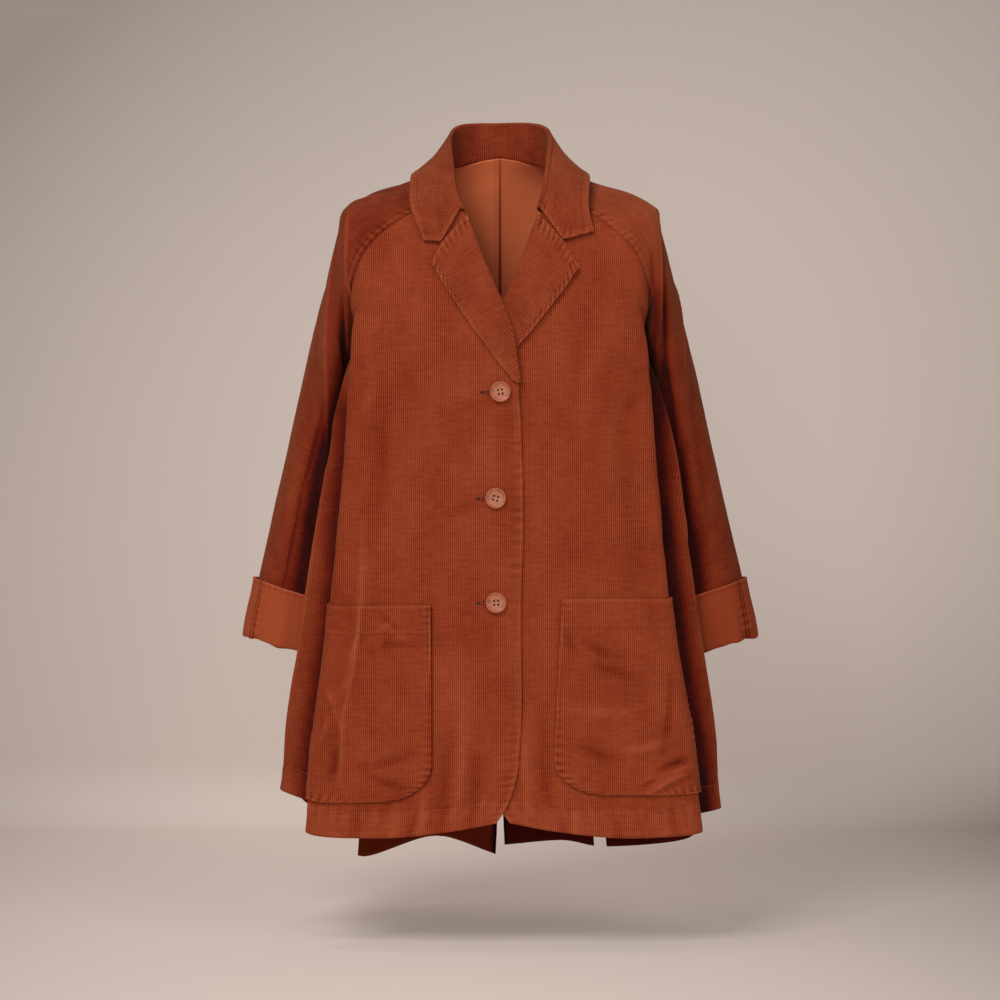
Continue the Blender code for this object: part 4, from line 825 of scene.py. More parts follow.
def lapel_surface(height, side):
    """Grid of one lapel: rows from the gorge down, columns from the roll line outwards."""
    count, arc = LAPEL_ROWS * FINE_TRIM, LAPEL_ARC * FINE_TRIM
    rows = []
    for share in np.arange(count + 1) / count:
        roll_z = LAPEL_TOP + (ROLL_END - LAPEL_TOP) * share
        roll = np.array((float(EDGE.at("x", roll_z)) + FRONT_LEAN * side, roll_z))
        outer = outer_line(side, share)
        notch = (np.array(NOTCH[side]) - GORGE_GAP) * (1 - share) + (roll + outer) / 2 * share
        lift = LAPEL_LIFT + (LAPEL_END_LIFT - LAPEL_LIFT) * share**2
        flat = curve([(*roll, 0), (*notch, 0), (*outer, 0)], finer(LAPEL_SPANS, FINE_TRIM))[:, :2]
        straight = np.array([*np.linspace(roll, notch, 3 * FINE_TRIM + 1), *flat[3 * FINE_TRIM + 1 :]])
        flat += (straight - flat) * fade(share, 0, 1 / LAPEL_ROWS)
        depth = height.at(roll[0] + 0.001, roll[1])
        turns = np.arange(arc) / FINE_TRIM + LAPEL_TURN_START
        angles = math.pi * turns / (LAPEL_ARC + LAPEL_TURN_START)
        reach = LAPEL_FOLD_REACH * np.sin(angles) * lift / LAPEL_LIFT + SEAM_GAP
        turned = depth - lift * (1 - np.cos(angles)) / 2
        fold = np.stack([roll[0] - reach, turned, np.full(arc, roll[1])], axis=1)
        rows.append([*fold, *[(x, height.at(x, z) - lift, z) for x, z in flat]])
    return np.array(rows)


def collar_lines(height, neckline, side):
    """The collar's seam, fold, middle and edge lines, gorge first and centre back last."""
    names = ("fold", "mid", "edge")
    lines = (np.stack([COLLAR[f"{name}_{axis}"] for axis in "xyz"], axis=1) for name in names)
    fold, middle, edge = lines
    for line, (x, z) in ((middle, NOTCH[side]), (edge, COLLAR_POINT[side])):
        line[0] = (x, height.at(x, z) - LAPEL_LIFT, z)
    seam = along(neckline, COLLAR["along"] * reached(neckline)[-1])
    seam[:, 2] += NECK_STAND
    return [curve(line, finer(COLLAR_SPANS, FINE_TRIM)) for line in (seam, fold, middle, edge)]


def away_from_neck(line):
    """Level unit vectors that point out of a collar line, away from the neck."""
    steps = np.gradient(line, axis=0)
    return unit(np.stack([steps[:, 1], -steps[:, 0], np.zeros(len(line))], axis=1))


def stand_surface(lines):
    """The collar's stand, from the neck seam to the fold, with a little hollow in its height."""
    seam, fold, _, _ = lines
    shares = np.linspace(0, 1, 3 * FINE_TRIM + 1)[:, None, None]
    bow = away_from_neck(fold) * STAND_HOLLOW
    return seam + (fold - seam) * shares - bow * np.sin(math.pi * shares)


def leaf_surface(lines):
    """The collar's leaf: over the fold from the stand's top, and down to its outer edge."""
    _, fold, middle, edge = lines
    out = away_from_neck(fold)
    top = fold + out * LEAF_STEP
    spans = finer(LEAF_SPANS, FINE_TRIM)
    stations = np.array([curve(points, spans) for points in zip(top, middle, edge)])
    half = len(stations[0]) // 2
    upper, lower = np.linspace(top[0], middle[0], half + 1), np.linspace(middle[0], edge[0], half + 1)
    eased = fade(np.arange(len(stations)), 0, 3 * FINE_TRIM)[:, None, None]
    stations += (np.concatenate([upper[:-1], lower]) - stations[0]) * eased
    angles = np.linspace(0, math.pi, FINE_TRIM, endpoint=False)[:, None, None]
    lift = np.array((0, 0, LEAF_STEP * LEAF_CROWN)) * np.sin(angles)
    roll = fold + out * LEAF_STEP * (1 - np.cos(angles)) / 2 + lift
    return np.concatenate([roll, stations.swapaxes(0, 1)])


def front_row_at(z):
    """The front's row whose chest lies at height z."""
    rows = np.linspace(0, LOW_ROWS, 241)
    return float(np.interp(z, FRONT_HEIGHTS.at("z_chest", rows), rows))


def panel_row(panel, row):
    """Points across a panel's grid at any row, between its own rows."""
    low = min(int(row), len(panel) - 2)
    return panel[low] + (panel[low + 1] - panel[low]) * (row - low)


def corner_inset(rise):
    """How far the pocket's rounded lower corners are cut back, this far above its lower edge."""
    if rise >= POCKET_CORNER_HEIGHT:
        return 0.0
    return POCKET_CORNER_WIDTH * (1 - math.sqrt(1 - (1 - rise / POCKET_CORNER_HEIGHT) ** 2))


def pocket_surface(front, side):
    """Grid of one pocket, from the front's own points moved out; its lower edge comes first."""
    steps = np.linspace(0, 1, POCKET_ROWS * FINE_TRIM + 1)
    rises = POCKET_DEPTH * (0.4 * steps + 0.6 * steps**2)
    return np.array([pocket_row(front, rise, side) for rise in rises])


def pocket_row(front, rise, side):
    """Points across a pocket this far above its lower edge, measured on the cloth under it."""
    pocket = next(row for row in POCKETS.rows() if row["side"] == side)
    row = front_row_at(pocket["bottom"] + rise) * FINE_ROWS
    line, above = panel_row(front, row), panel_row(front, row + 0.5 * FINE_ROWS)
    share = rise / POCKET_DEPTH
    inner = pocket["low_inner"] * (1 - share) + pocket["high_inner"] * share
    fold_column = sum(FRONT_SPANS[:3]) * FINE_COLUMNS
    ways = reached(line)
    start = float(np.interp(inner, line[:fold_column, 0], ways[:fold_column]))
    inset, fold = corner_inset(rise), ways[fold_column]
    end = max(start + POCKET_WIDTH - inset, fold + POCKET_PAST_FOLD)
    before, after = finer(POCKET_SPANS, FINE_TRIM)
    inner_places = np.linspace(start + inset, fold, before + 1)[:-1]
    places = np.concatenate([inner_places, np.linspace(fold, end, after + 1)])
    points = along(line, places)
    across = unit(along(line, places + 0.006) - along(line, places - 0.006))
    upward = unit(along(above, places) - points)
    return points + unit(np.cross(across, upward)) * POCKET_LIFT


# ---- shaping the cloth ----
def cell_normals(grid):
    """Cross product of the diagonals of each cell."""
    return np.cross(grid[1:, 1:] - grid[:-1, :-1], grid[:-1, 1:] - grid[1:, :-1])


def point_normals(grid, sign):
    """Sum of the neighbouring cells' normals at each point, not yet of unit length."""
    cells = cell_normals(grid) * sign
    total = np.zeros_like(grid)
    for rows in (slice(None, -1), slice(1, None)):
        for columns in (slice(None, -1), slice(1, None)):
            total[rows, columns] += cells
    return total


def shared_normals(grids):
    """Unit normals of grids, the same for all of them at a point of a shared border."""
    totals = [point_normals(grid, sign) for grid, sign in grids]
    keys, sums = [], {}
    for (grid, _), total in zip(grids, totals):
        border = np.zeros(grid.shape[:2], bool)
        border[[0, -1]] = border[:, [0, -1]] = True
        places = np.argwhere(border)
        named = [tuple(key) for key in np.round(grid[border] * 1e5).astype(int)]
        keys.append((places, named))
        for key, value in zip(named, total[border]):
            sums[key] = sums.get(key, 0) + value
    for total, (places, named) in zip(totals, keys):
        for (i, j), key in zip(places, named):
            total[i, j] = sums[key]
    return [unit(total) for total in totals]


def own_normals(grid, sign, closed=False):
    """Unit normals of one grid; a closed one goes round a tube and repeats its first column."""
    total = point_normals(grid, sign)
    if closed:
        total[:, 0] += total[:, -1]
        total[:, -1] = total[:, 0]
    return unit(total)


def reached_over(grid, axis):
    """Distance over the cloth of each point from its first row (axis 0) or first column (axis 1)."""
    steps = np.linalg.norm(np.diff(grid, axis=axis), axis=2)
    return np.concatenate([0 * steps.take([0], axis), np.cumsum(steps, axis=axis)], axis=axis)


def border_ways(grid):
    """For each border: how far every point is from it over the cloth, and how far along it."""
    across, down = reached_over(grid, 1), reached_over(grid, 0)
    return {
        "first_column": (across, down[:, :1] + 0 * across),
        "last_column": (across[:, -1:] - across, down[:, -1:] + 0 * across),
        "first_row": (down, across[:1] + 0 * across),
        "last_row": (down[-1:] - down, across[-1:] + 0 * across),
    }


def seam_relief(distance, place, stitches, roll=EDGE_ROLL, pucker=PUCKER_HEIGHT, seed=0.0):
    """Height of the cloth near a sewn border: drawn in at its stitches, puckered and swollen."""
    height = roll * np.sqrt(np.clip(1 - (distance / (stitches[-1] + 1e-9)) ** 2, 0, 1))
    for reach in stitches:
        height -= SEAM_GROOVE * np.exp(-(((distance - reach) / SEAM_GROOVE_WIDTH) ** 2))
    beat = np.sin(place * 2 * math.pi / PUCKER_PITCH + 2.2 * np.sin(place * 31 + seed) + seed)
    uneven = 0.55 + 0.45 * np.sin(place * 19 + seed * 3)
    reach = np.exp(-(((distance - stitches[-1] * 0.7) / PUCKER_REACH) ** 2))
    return height + pucker * beat * uneven * reach


def sewn_edges(kind, ways, stitches=TWO_ROWS, roll=EDGE_ROLL, pucker=PUCKER_HEIGHT, seed=0.0):
    """Relief of all the borders along which a piece of this kind is topstitched."""
    edges = SEWN_EDGES[kind]
    return sum(seam_relief(*ways[edge], stitches, roll, pucker, seed + len(edge)) for edge in edges)


def crease_lines(kind, side, height):
    """The creases of a panel as polylines on it, each with its width, height and sharpness."""
    lines = []
    for crease in CREASES[kind].rows():
        if crease["side"] != side:
            continue
        start, end = np.array((crease["x"], crease["z"])), np.array((crease["x2"], crease["z2"]))
        across = unit(np.array((end[1] - start[1], start[0] - end[0])))
        shares = np.linspace(0, 1, CREASE_STEPS + 1)
        bowed = np.outer(np.sin(math.pi * shares), across) * crease["bow"]
        flat = start + np.outer(shares, end - start) + bowed
        line = np.array([(x, height.at(x, z), z) for x, z in flat])
        lines.append((line, crease["width"], crease["height"], crease.get("sharp", 0)))
    return lines


def fold_lines(kind, side, grid):
    """The folds of a panel as polylines through its grid."""
    fine = FINE_SLEEVE, FINE_ROWS
    if kind in ("front", "back"):
        fine = FINE_ROWS, FINE_COLUMNS
    lines = []
    for fold in FOLDS[kind].rows():
        if fold["side"] == side:
            rows = np.linspace(fold["row"], fold["row2"], CREASE_STEPS + 1) * fine[0]
            columns = np.linspace(fold["column"], fold["column2"], CREASE_STEPS + 1) * fine[1]
            places = np.round(rows).astype(int), np.round(columns).astype(int)
            lines.append((grid[places], fold["width"], fold["height"], fold["sharp"]))
    return lines


def creased(points, lines):
    """How far each point moves out for the creases near it, and the wear and painted light and shade that
    it gets.
    """
    total, rub_and_shade = np.zeros(points.shape[:-1]), np.zeros(points.shape[:-1])
    for line, width, height, sharp in lines:
        reach = np.ptp(line, axis=0).max() + 3 * width
        near = np.linalg.norm(points - line.mean(axis=0), axis=-1) < reach
        chosen = points[near]
        if not len(chosen):
            continue
        best, share = np.full(len(chosen), 1e9), np.zeros(len(chosen))
        for k, (start, end) in enumerate(zip(line[:-1], line[1:])):
            step = end - start
            t = np.clip((chosen - start) @ step / max(step @ step, 1e-12), 0, 1)
            gap = np.linalg.norm(chosen - start - t[:, None] * step, axis=1)
            closer = gap < best
            best[closer], share[closer] = gap[closer], (k + t[closer]) / CREASE_STEPS
        taper = np.sin(math.pi * np.clip(share * 0.9 + 0.05, 0, 1)) ** 0.6
        if sharp:
            edge = np.hypot(best, FOLD_EDGE) - FOLD_EDGE
            total[near] += height * taper * np.exp(-edge / (width * 0.5))
            # A light line of wear and painted highlight on a sharp ridge, a dark line of painted shade in
            # a sharp trough.
            rub_and_shade[near] += math.copysign(FOLD_LIGHT, height) * taper * np.exp(-((best / FOLD_WEAR_AND_SHADE_WIDTH) ** 2))
        else:
            shape = taper * np.exp(-((best / (width * 0.55)) ** 2))
            total[near] += height * shape
            # A soft ridge gets lighter with wear and painted highlight, a soft trough darker with painted
            # shade.
            light = np.clip(height / SOFT_WEAR_AND_SHADE, *SOFT_LIGHT) * min(1, SOFT_WIDTH / width) ** 2
            rub_and_shade[near] += light * shape
        # Painted shade deep in a trough.
        if height < -DEEP_TROUGH:
            rub_and_shade[near] -= DEEP_TROUGH_SHADE * taper * np.exp(-((best / (width * 0.45)) ** 2))
    return total, rub_and_shade


def draped(points, seed=0.0, amount=1.0):
    """Soft unevenness of hanging cloth, the same on both sides of a seam."""
    flat = points.reshape(-1, 3)
    total = np.zeros(len(flat))
    for layer in DRAPE:
        scale = np.array((1 / layer["across"], 1 / layer["across"], 1 / layer["along"]))
        places = flat * scale + seed
        total += layer["height"] * np.array([noise.noise(Vector(place)) for place in places])
    return amount * total.reshape(points.shape[:-1])


def drawn_in(grid, closed=False):
    """The grid with its borders moved half the cloth's gap into the piece."""
    moved = grid.copy()
    turned = [(grid, moved), (grid.swapaxes(0, 1), moved.swapaxes(0, 1))]
    for lines, out in turned[: 1 if closed else 2]:
        for edge, inside in ((0, 1), (-1, -2)):
            out[edge] += unit(lines[inside] - lines[edge]) * CLOTH_GAP / 2
    return moved


def grain_map(grid, origin_column=0, start=0.0):
    """The cloth's own measure: distance across from one column, and along it, in metres."""
    across = reached_over(grid, 1)
    across -= across[:, [origin_column]]
    middle = grid[:, grid.shape[1] // 2]
    down = np.broadcast_to(reached(middle)[:, None], across.shape)
    return np.stack([across + start, down], axis=2)


def mirrored(grid, side):
    """World points of a grid whose x counts towards its own side."""
    return grid * np.array((side, 1, 1))


def wall(name, middle, normals, thickness, grain, worn, finishes, closed=False, left_out=None):
    """A cloth wall: its right side, its wrong side and the rim between them.

    After the grain come, for the right and the wrong side at each point, the wear and painted light
    that make them lighter, and below 0 the painted shade that darkens them in seams, folds and
    behind edges.
    """
    height, width = middle.shape[0] - 1, middle.shape[1] - 1
    points = middle[:, :-1] if closed else middle
    out = normals[:, :-1] if closed else normals
    columns = points.shape[1]
    count = points.shape[0] * columns
    cells = np.argwhere(np.ones((height, width), bool))
    if left_out is not None:
        cells = cells[~left_out(cells)]
    steps = np.array(((0, 0), (0, 1), (1, 1), (1, 0)))
    corners = cells[:, None] + steps
    vertex = corners[..., 0] * columns + corners[..., 1] % columns
    chart = corners[..., 0] * (width + 1) + corners[..., 1]
    flat, flat_out = points.reshape(-1, 3), out.reshape(-1, 3)
    first, second, third, fourth = (flat[vertex[:, k]] for k in range(4))
    facing = np.cross(third - first, fourth - second)
    if (facing * flat_out[vertex[:, 0]]).sum() < 0:
        vertex, chart = vertex[:, ::-1], chart[:, ::-1]
    edges = {}
    for ring, places in zip(vertex, chart):
        for k in range(4):
            start, end = int(ring[k]), int(ring[(k + 1) % 4])
            if (end, start) in edges:
                del edges[end, start]
            else:
                edges[start, end] = (int(places[k]), int(places[(k + 1) % 4]))
    rim = np.array(list(edges))
    rim_chart = np.array(list(edges.values()))
    tangent = flat[rim[:, 1]] - flat[rim[:, 0]]
    bulge = np.zeros_like(flat)
    for end in (0, 1):
        np.add.at(bulge, rim[:, end], unit(np.cross(tangent, flat_out[rim[:, end]])))
    ids = np.unique(rim)
    ring_of = np.full(count, -1)
    ring_of[ids] = 2 * count + np.arange(len(ids))
    swell = unit(bulge[ids]) * thickness * RIM_SWELL
    half = flat_out * thickness / 2
    vertices = np.concatenate([flat + half, flat - half, flat[ids] + swell])
    start, end = rim.T
    outer_rim = np.stack([end, start, ring_of[start], ring_of[end]], axis=1)
    inner_rim = np.stack([ring_of[end], ring_of[start], start + count, end + count], axis=1)
    faces = np.concatenate([vertex, vertex[:, ::-1] + count, outer_rim, inner_rim])
    rim_places = rim_chart[:, (1, 0, 0, 1)]
    places = np.concatenate([chart, chart[:, ::-1], rim_places, rim_places])
    slots = np.zeros(len(faces), int)
    slots[len(vertex) : 2 * len(vertex)] = 1
    slots[-len(inner_rim) :] = 1
    used = np.unique(faces)
    renumber = np.zeros(len(vertices), int)
    renumber[used] = np.arange(len(used))
    data = bpy.data.meshes.new(name)
    data.from_pydata(vertices[used].tolist(), [], renumber[faces].tolist())
    data.uv_layers.new(name="grain")
    data.uv_layers["grain"].data.foreach_set("uv", grain.reshape(-1, 2)[places.reshape(-1)].ravel())
    for finish in finishes:
        data.materials.append(finish)
    data.polygons.foreach_set("material_index", slots)
    # Wear, painted light and painted shade of each point go to the mesh for the velvet's colour.
    marks = (worn[..., :-1] if closed else worn).reshape(2, -1)
    every = np.concatenate([*marks, marks[0, ids]])
    data.attributes.new("worn", "FLOAT", "POINT").data.foreach_set("value", every[used])
    data.shade_smooth()
    data.update()
    return add_piece(name, data)


def add_piece(name, data):
    piece = bpy.data.objects.new(name, data)
    bpy.context.scene.collection.objects.link(piece)
    return piece


def dress(piece, nodes=()):
    """Ties a finished piece to the root body, and hides any imported parts that it stands for."""
    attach(piece, "root")
    if nodes:
        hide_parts(*nodes)


# ---- stitches ----
def stitch_shape():
    """One stitch, modelled once: a thread lying in the cloth along X, as points and faces."""
    bpy.ops.object.select_all(action="DESELECT")
    bpy.ops.mesh.primitive_uv_sphere_add(segments=6, ring_count=5, radius=1)
    stitch = bpy.context.object
    bpy.ops.object.mode_set(mode="EDIT")
    bpy.ops.mesh.select_all(action="SELECT")
    bpy.ops.transform.rotate(value=math.pi / 2, orient_axis="Y", center_override=(0, 0, 0))
    bpy.ops.transform.resize(value=(STITCH_LENGTH / 2, STITCH_RADIUS, STITCH_RADIUS))
    bpy.ops.object.mode_set(mode="OBJECT")
    points = np.array([vertex.co for vertex in stitch.data.vertices])
    faces = [tuple(face.vertices) for face in stitch.data.polygons]
    bpy.data.objects.remove(stitch)
    return points, faces


def stitch_frames(line, normals, pitch=STITCH_PITCH, sink=0.00005):
    """Place and three axes of each stitch along a line that lies on the cloth."""
    total = reached(line)[-1]
    count = max(1, int(total / pitch))
    places = (np.arange(count) + 0.5) * total / count
    centres = along(line, places)
    forward = unit(along(line, places + 0.001) - along(line, places - 0.001))
    ways = reached(line)
    up = unit(np.stack([np.interp(places, ways, normals[:, k]) for k in range(3)], axis=1))
    side = unit(np.cross(up, forward))
    up = np.cross(forward, side)
    return [(centre + u * sink, f, s, u) for centre, f, s, u in zip(centres, forward, side, up)]


def sew(name, frames, finish, scale=(1, 1, 1)):
    """One piece of all the stitches whose places and axes are given."""
    shape, faces = STITCH
    vertices, rings = [], []
    for centre, forward, side, up in frames:
        offset = len(vertices) * len(shape)
        vertices.append(centre + (shape * np.array(scale)) @ np.array((forward, side, up)))
        rings += [tuple(v + offset for v in face) for face in faces]
    data = bpy.data.meshes.new(name)
    data.from_pydata(np.concatenate(vertices).tolist(), [], rings)
    data.materials.append(finish)
    data.shade_smooth()
    data.update()
    return add_piece(name, data)


def line_at(surface, normals, border, distance):
    """Line over the cloth at one distance from a border of its grid, and the normals along it."""
    points, out = surface, normals
    if border in ("first_row", "last_row"):
        points, out = points.swapaxes(0, 1), out.swapaxes(0, 1)
    if border in ("last_column", "last_row"):
        points, out = points[:, ::-1], out[:, ::-1]
    line, ups = [], []
    for row, up in zip(points, out):
        line.append(along(row, [distance])[0])
        ups.append([np.interp(distance, reached(row), up[:, k]) for k in range(3)])
    return np.array(line), unit(np.array(ups))


# ---- materials ----
def node(tree, kind, links=None, **values):
    """Adds a node; links names its inputs' sources, and values sets properties or input values."""
    made = tree.nodes.new(kind)
    for name, value in values.items():
        setattr(made, name, value)
    for name, source in (links or {}).items():
        if hasattr(source, "is_output"):
            tree.links.new(source, made.inputs[name])
        else:
            made.inputs[name].default_value = source
    return made


def group_tree(name, inputs, outputs):
    """An empty node group with float or vector sockets, and its input and output nodes."""
    tree = bpy.data.node_groups.new(name, "ShaderNodeTree")
    for socket, kind, value in inputs:
        made = tree.interface.new_socket(socket, in_out="INPUT", socket_type=f"NodeSocket{kind}")
        if value is not None:
            made.default_value = value
    for socket, kind in outputs:
        tree.interface.new_socket(socket, in_out="OUTPUT", socket_type=f"NodeSocket{kind}")
    return tree, tree.nodes.new("NodeGroupInput"), tree.nodes.new("NodeGroupOutput")


def maths(tree, operation, one, other=0.0):
    made = node(tree, "ShaderNodeMath", operation=operation)
    for socket, source in zip(made.inputs, (one, other)):
        if hasattr(source, "is_output"):
            tree.links.new(source, socket)
        else:
            socket.default_value = source
    return made.outputs[0]


def vectors(tree, operation, *values, **named):
    """What a vector maths node gives for its sockets, in order or by name."""
    sockets = dict(enumerate(values)) | named
    return node(tree, "ShaderNodeVectorMath", sockets, operation=operation).outputs[0]


def noise_at(tree, place, stretch, detail=2.0, rough=0.5):
    """Noise, from 0 to 1, whose grain is as long as stretch says along each axis, in metres."""
    scaled = vectors(tree, "MULTIPLY", place, tuple(1 / length for length in stretch))
    values = {"Vector": scaled, "Scale": 1.0, "Detail": detail, "Roughness": rough}
    return node(tree, "ShaderNodeTexNoise", values).outputs[0]


def wale_group():
    """Ribs of the velvet across U: how high the pile stands, and the shade that it shows with its wear and
    painted light and shade.
    """
    tree, into, out = group_tree(
        "wales",
        [
            ("Grain", "Vector", None),
            ("Place", "Vector", None),
            ("Worn", "Float", 0.0),
            ("Pitch", "Float", 0.0025),
            ("Strength", "Float", 1.0),
        ],
        [("Height", "Float"), ("Shade", "Float")],
    )
    grain, place = into.outputs["Grain"], into.outputs["Place"]

    def plus(one, other):
        return maths(tree, "ADD", one, other)

    def times(one, other):
        return maths(tree, "MULTIPLY", one, other)

    def centred(value, middle, amount):
        return times(maths(tree, "SUBTRACT", value, middle), amount)

    wobble = times(noise_at(tree, grain, WOBBLE_GRAIN), RIB_WOBBLE)
    across = node(tree, "ShaderNodeSeparateXYZ", {0: grain}).outputs[0]
    ribs = maths(tree, "DIVIDE", plus(across, wobble), into.outputs["Pitch"])
    rib = maths(tree, "ABSOLUTE", maths(tree, "SINE", times(ribs, math.pi)))
    rib = maths(tree, "POWER", rib, 0.6)
    tufts = noise_at(tree, grain, TUFT_GRAIN, 3.0, 0.6)
    bruised = noise_at(tree, grain, BRUISE_GRAIN, 3.0, 0.6)
    # Uneven patches of the pile's own lighter and darker tone.
    worn = noise_at(tree, place, WEAR_GRAIN, 3.0, 0.55)
    clear = times(noise_at(tree, place, CLEAR_GRAIN, 2.0, 0.5), 1.3)
    height = plus(plus(times(rib, 0.85), times(tufts, 0.25)), times(bruised, 0.30))
    tree.links.new(times(height, into.outputs["Strength"]), out.inputs["Height"])
    pile = plus(centred(rib, 0.72, clear), centred(bruised, 0.5, 0.5))
    shade = plus(pile, plus(centred(worn, 0.5, 0.55), centred(tufts, 0.5, 0.7)))
    shade = plus(times(shade, into.outputs["Strength"]), 1.0)
    # The mesh's wear and painted light and shade make the pile lighter or darker.
    tree.links.new(plus(shade, times(into.outputs["Worn"], RUB_SHADE)), out.inputs["Shade"])
    return tree


def shaded(tree, colour, shade, tint=(0, 0, 0)):
    """The colour made lighter or darker by a shade round 1, with some tint where it is lighter."""
    over = maths(tree, "MAXIMUM", maths(tree, "SUBTRACT", shade, 1.0), -0.25)
    scaled = vectors(tree, "SCALE", tuple(colour), Scale=shade)
    tinted = vectors(tree, "SCALE", tuple(tint), Scale=over)
    return vectors(tree, "MAXIMUM", vectors(tree, "ADD", scaled, tinted), DARKEST)


def pile_material(name, colour, strength, relief, sheen, sheen_tint, pitch):
    """The velvet's right side (strength 1) or its smoother wrong side."""
    made = bpy.data.materials.new(name)
    made.use_nodes = True
    tree = made.node_tree
    shader = tree.nodes["Principled BSDF"]
    grain = node(tree, "ShaderNodeUVMap", uv_map="grain").outputs[0]
    place = node(tree, "ShaderNodeTexCoord").outputs["Object"]
    ribs = node(tree, "ShaderNodeGroup", node_tree=bpy.data.node_groups["wales"])
    # Wear and painted light and shade of each point, from the mesh.
    rub_and_shade = node(tree, "ShaderNodeAttribute", attribute_name="worn").outputs["Fac"]
    for socket, source in (("Grain", grain), ("Place", place), ("Worn", rub_and_shade)):
        tree.links.new(source, ribs.inputs[socket])
    ribs.inputs["Pitch"].default_value, ribs.inputs["Strength"].default_value = pitch, strength
    tree.links.new(shaded(tree, colour, ribs.outputs["Shade"], PILE_TINT), shader.inputs["Base Color"])
    pile = {"Height": ribs.outputs["Height"], "Distance": relief, "Strength": 1.0}
    bump = node(tree, "ShaderNodeBump", pile)
    tree.links.new(bump.outputs[0], shader.inputs["Normal"])
    shader.inputs["Roughness"].default_value = 0.88
    shader.inputs["Specular IOR Level"].default_value = 0.16
    shader.inputs["Sheen Weight"].default_value = sheen
    shader.inputs["Sheen Roughness"].default_value = 0.42
    shader.inputs["Sheen Tint"].default_value = (*sheen_tint, 1)
    return made


def plain_material(name, colour, roughness, specular=0.3, spread=None, amount=0.3):
    """A material of one colour, mottled by noise where spread gives its grain in metres."""
    made = bpy.data.materials.new(name)
    made.use_nodes = True
    tree = made.node_tree
    shader = tree.nodes["Principled BSDF"]
    shader.inputs["Base Color"].default_value = (*colour, 1)
    shader.inputs["Roughness"].default_value = roughness
    shader.inputs["Specular IOR Level"].default_value = specular
    if spread:
        place = node(tree, "ShaderNodeTexCoord").outputs["Object"]
        mottle = maths(tree, "SUBTRACT", noise_at(tree, place, spread, 3.0, 0.6), 0.5)
        shade = maths(tree, "ADD", maths(tree, "MULTIPLY", mottle, amount), 1.0)
        tree.links.new(shaded(tree, colour, shade), shader.inputs["Base Color"])
    return made


def curved(tree, x, y, shares):
    """a + bx + cy + dx2 + exy + fy2, kept between half and one and a half."""
    total = shares[0]
    squares = [maths(tree, "MULTIPLY", one, other) for one, other in ((x, x), (x, y), (y, y))]
    for share, product in zip(shares[1:], (x, y, *squares)):
        total = maths(tree, "ADD", maths(tree, "MULTIPLY", product, share), total)
    return maths(tree, "MINIMUM", maths(tree, "MAXIMUM", total, 0.5), 1.5)


def backdrop_material(name, colour, glow):
    """The backdrop's paint, lighter and darker across it as painted light and shade, with a painted glow
    of its own and not seen from behind.
    """
    made = plain_material(name, colour, 0.95, 0.1)
    tree = made.node_tree
    shader, output = tree.nodes["Principled BSDF"], tree.nodes["Material Output"]
    place = node(tree, "ShaderNodeTexCoord").outputs["Object"]
    x, y, z = node(tree, "ShaderNodeSeparateXYZ", {0: place}).outputs
    wall, floor = curved(tree, x, z, WALL_SHADE), curved(tree, x, y, FLOOR_SHADE)
    heights = {0: z, 1: FLOOR_HEIGHT, 2: FLOOR_HEIGHT + SWEEP}
    upright = node(tree, "ShaderNodeMapRange", heights).outputs[0]
    paint = shaded(tree, colour, node(tree, "ShaderNodeMix", {0: upright, 2: floor, 3: wall}).outputs[0])
    tree.links.new(paint, shader.inputs["Base Color"])
    tree.links.new(paint, shader.inputs["Emission Color"])
    shader.inputs["Emission Strength"].default_value = glow
    back = node(tree, "ShaderNodeNewGeometry").outputs["Backfacing"]
    clear = node(tree, "ShaderNodeBsdfTransparent").outputs[0]
    mixed = node(tree, "ShaderNodeMixShader", {0: back, 1: shader.outputs[0], 2: clear})
    tree.links.new(mixed.outputs[0], output.inputs["Surface"])
    return made


def finish(name):
    return bpy.data.materials[name]


# ---- the pieces ----
GRIDS = {}  # each side's front, back and sleeve, and readers of the first two; x towards its side
SKINS = {}  # each piece's outer surface and its normals in the world, for what is sewn on it
STITCH = []  # points and faces of one stitch


def body_grids():
    """Fills GRIDS once, for both sides."""
    if not GRIDS:
        for side in SIDES:
            front, back = front_surface(side), back_surface(side)
            sleeve = sleeve_surface(front, back)
            GRIDS[side] = front, back, sleeve, Height(front[::4, ::4]), Height(back[::4, ::4])
    return GRIDS


def ditch(distance, depth=0.0007, width=0.0022):
    """How a seam draws the cloth in on either side of it."""
    return -depth * np.exp(-((distance / width) ** 2))


def sleeve_heights(sleeve):
    """Readers of the sleeve's front and back halves."""
    coarse = sleeve[::4, ::4]
    middle = coarse.shape[1] // 2
    return Height(coarse[:, : middle + 1]), Height(coarse[:, middle:])


